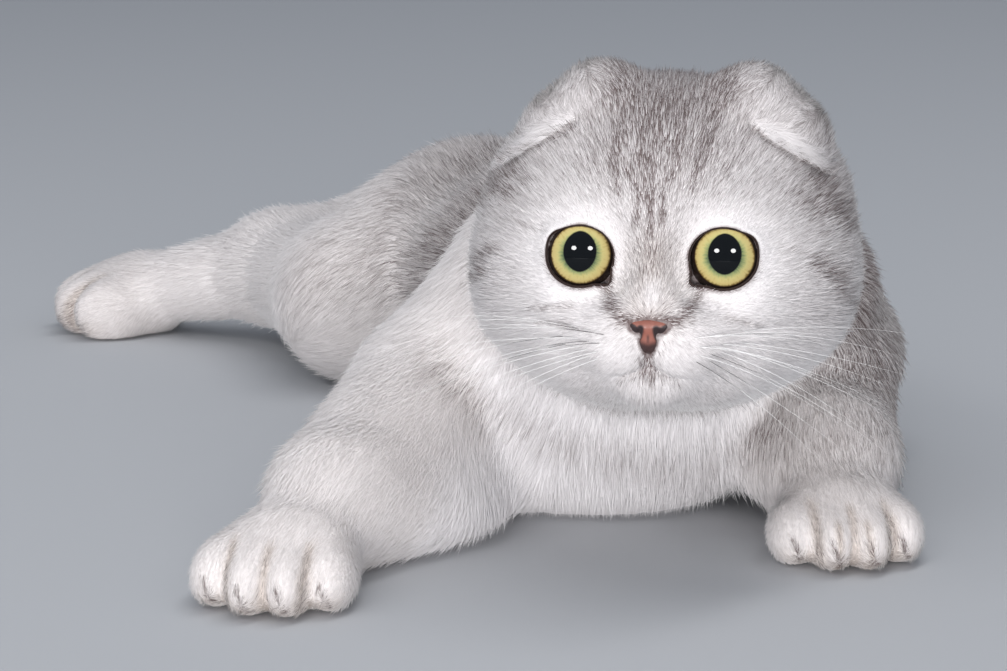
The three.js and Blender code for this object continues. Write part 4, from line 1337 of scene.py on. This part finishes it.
def whisker_tree():
    tree, (paths, radius, finish) = new_tree(
        "whisker_tubes", Paths="Geometry", Radius="Float", Finish="Material")
    curve = node(tree, "GeometryNodeMeshToCurve", {}, {"Mesh": paths})
    factor = node(tree, "GeometryNodeSplineParameter", {}, {})
    taper = node(tree, "ShaderNodeMapRange", {}, {"Value": factor, "To Min": 1.0, "To Max": 0.12}) * radius
    curve = node(tree, "GeometryNodeSetCurveRadius", {}, {
        "Curve": stored(tree, curve, "along", factor), "Radius": taper})
    ring = node(tree, "GeometryNodeCurvePrimitiveCircle", {}, {"Resolution": 5, "Radius": 1.0})
    tube = node(tree, "GeometryNodeCurveToMesh", {}, {
        "Curve": curve, "Profile Curve": ring, "Scale": taper, "Fill Caps": True})
    return close_tree(tree, tube, finish)


print("whisker finish", whisker_material.name)

# %% Where the whiskers grow
WHISKER_SEED = 5
WHISKER_THICK = 0.00008  # metres, half across at the root


def whisker_paths():
    """Points and edges of every whisker, with how dark its base is."""
    draw = np.random.default_rng(WHISKER_SEED)
    points, edges, dark_base = [], [], []

    def add(start, way_, reach, droop, grey):
        first = len(points)
        for t in np.linspace(0, 1, 12):
            points.append(start + (way_ * t + droop * t * t) * reach)
            dark_base.append(float(grey))
        edges.extend((first + i, first + i + 1) for i in range(11))

    for side in (-1, 1):
        for row in range(4):
            for n in range(4 if row < 3 else 2):
                out = side * (11.5 + 3.2 * n + 0.6 * row)
                start = np.array([out, -49.0 + 1.6 * n + 0.5 * n * n, -25.4 - 2.1 * row + 0.3 * n])
                reach = draw.uniform(40, 60) * (0.8 + 0.08 * n)
                lift = 0.16 - 0.2 * row + draw.uniform(-0.06, 0.06)
                droop = np.array([0, 0.32, -1.0]) * draw.uniform(0.10, 0.24)
                sideways = unit(np.array([side * 1.0, -0.2 + 0.05 * n, lift]))
                add(start, sideways, reach, droop, draw.random() < 0.3)
        for n in range(2):
            start = np.array([side * (16 + 3.2 * n), -40.0 + 0.8 * n, 7.0 + 0.5 * n])
            way_ = unit(np.array([side * 0.4, -0.3, 0.9]))
            add(start, way_, draw.uniform(18, 26), np.array([side * 0.15, 0.25, 0.0]), False)
    return from_head(np.float32(points)), edges, np.float32(dark_base)


points, edges, dark_base = whisker_paths()
mesh = bpy.data.meshes.new("whisker_paths")
mesh.from_pydata(in_metres(points).tolist(), edges, [])
store(mesh, "base_dark", dark_base)
whiskers = bpy.data.objects.new("whiskers", mesh)
bpy.context.collection.objects.link(whiskers)
done = grow(whiskers, whisker_tree(), "whiskers", Radius=WHISKER_THICK, Finish=whisker_material)
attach(whiskers, "root")
print("whiskers", len(done.polygons), "faces")

# %% [markdown]
# ## Floor and light
# A broad, low light ahead does most of the work, as a bright room in front of the animal does. A soft box
# from the left above and one from overhead shape the head and the back, and a pale world fills the shadows.
# Two small lights at the sides of the lens are seen only in reflections: they are the two bright points in
# each eye.

# %% Floor, lights and world
FLOOR = 6  # metres from the middle to each side
floor_mesh = bpy.data.meshes.new("floor")
floor_mesh.from_pydata([(x * FLOOR, y * FLOOR, 0) for x, y in ((-1, -1), (1, -1), (1, 1), (-1, 1))], [],
                       [(0, 1, 2, 3)])
floor = bpy.data.objects.new("floor", floor_mesh)
bpy.context.collection.objects.link(floor)
floor_mesh.materials.append(new_material("pale_floor", Roughness=0.9, Base_Color=(0.46, 0.47, 0.49, 1))[0])

head_centre = Vector(in_metres(from_head(np.float32([0, -35, -5]))))
to_camera = (Vector(CAMERA_AT) - head_centre).normalized()


def soft_box(name, turn, lift, far, size, power, glint=False):
    """A light at a turn and a lift from the lens, as the head sees them. A glint shows only in the eyes."""
    azimuth = math.atan2(to_camera.y, to_camera.x) + math.radians(turn)
    height = math.asin(to_camera.z) + math.radians(lift)
    flat = math.cos(height)
    way_ = Vector((math.cos(azimuth) * flat, math.sin(azimuth) * flat, math.sin(height)))
    light = bpy.data.lights.new(name, "AREA")
    light.shape = "ELLIPSE" if glint else "RECTANGLE"
    light.size, light.size_y, light.energy = size if glint else size * 4, size * 0.8, power
    thing = bpy.data.objects.new(name, light)
    thing.location = head_centre + way_ * far
    thing.rotation_euler = (-way_).to_track_quat("-Z", "Y").to_euler()
    thing.visible_glossy = glint
    thing.visible_diffuse = not glint
    bpy.context.collection.objects.link(thing)


LIGHTS = {
    #              turn lift far size power
    "box_left": (-34, 30, 1.8, 0.5, 8),
    "box_top": (50, 70, 1.8, 0.5, 13),
    "front_fill": (-4, -10, 2.6, 0.5, 71),
    "catch_left": (-32, 19, 1.55, 0.46, 20, True),
    "catch_right": (32, 19, 1.55, 0.46, 20, True),
}
for name, settings in LIGHTS.items():
    soft_box(name, *settings)
world = bpy.data.worlds.new("room")
bpy.context.scene.world = world
world.use_nodes = True
sky = world.node_tree.nodes["Background"].inputs
sky["Color"].default_value, sky["Strength"].default_value = (0.84, 0.90, 1.0, 1), 0.44
bpy.context.scene.view_settings.view_transform = "Standard"
print("lights", len(LIGHTS))
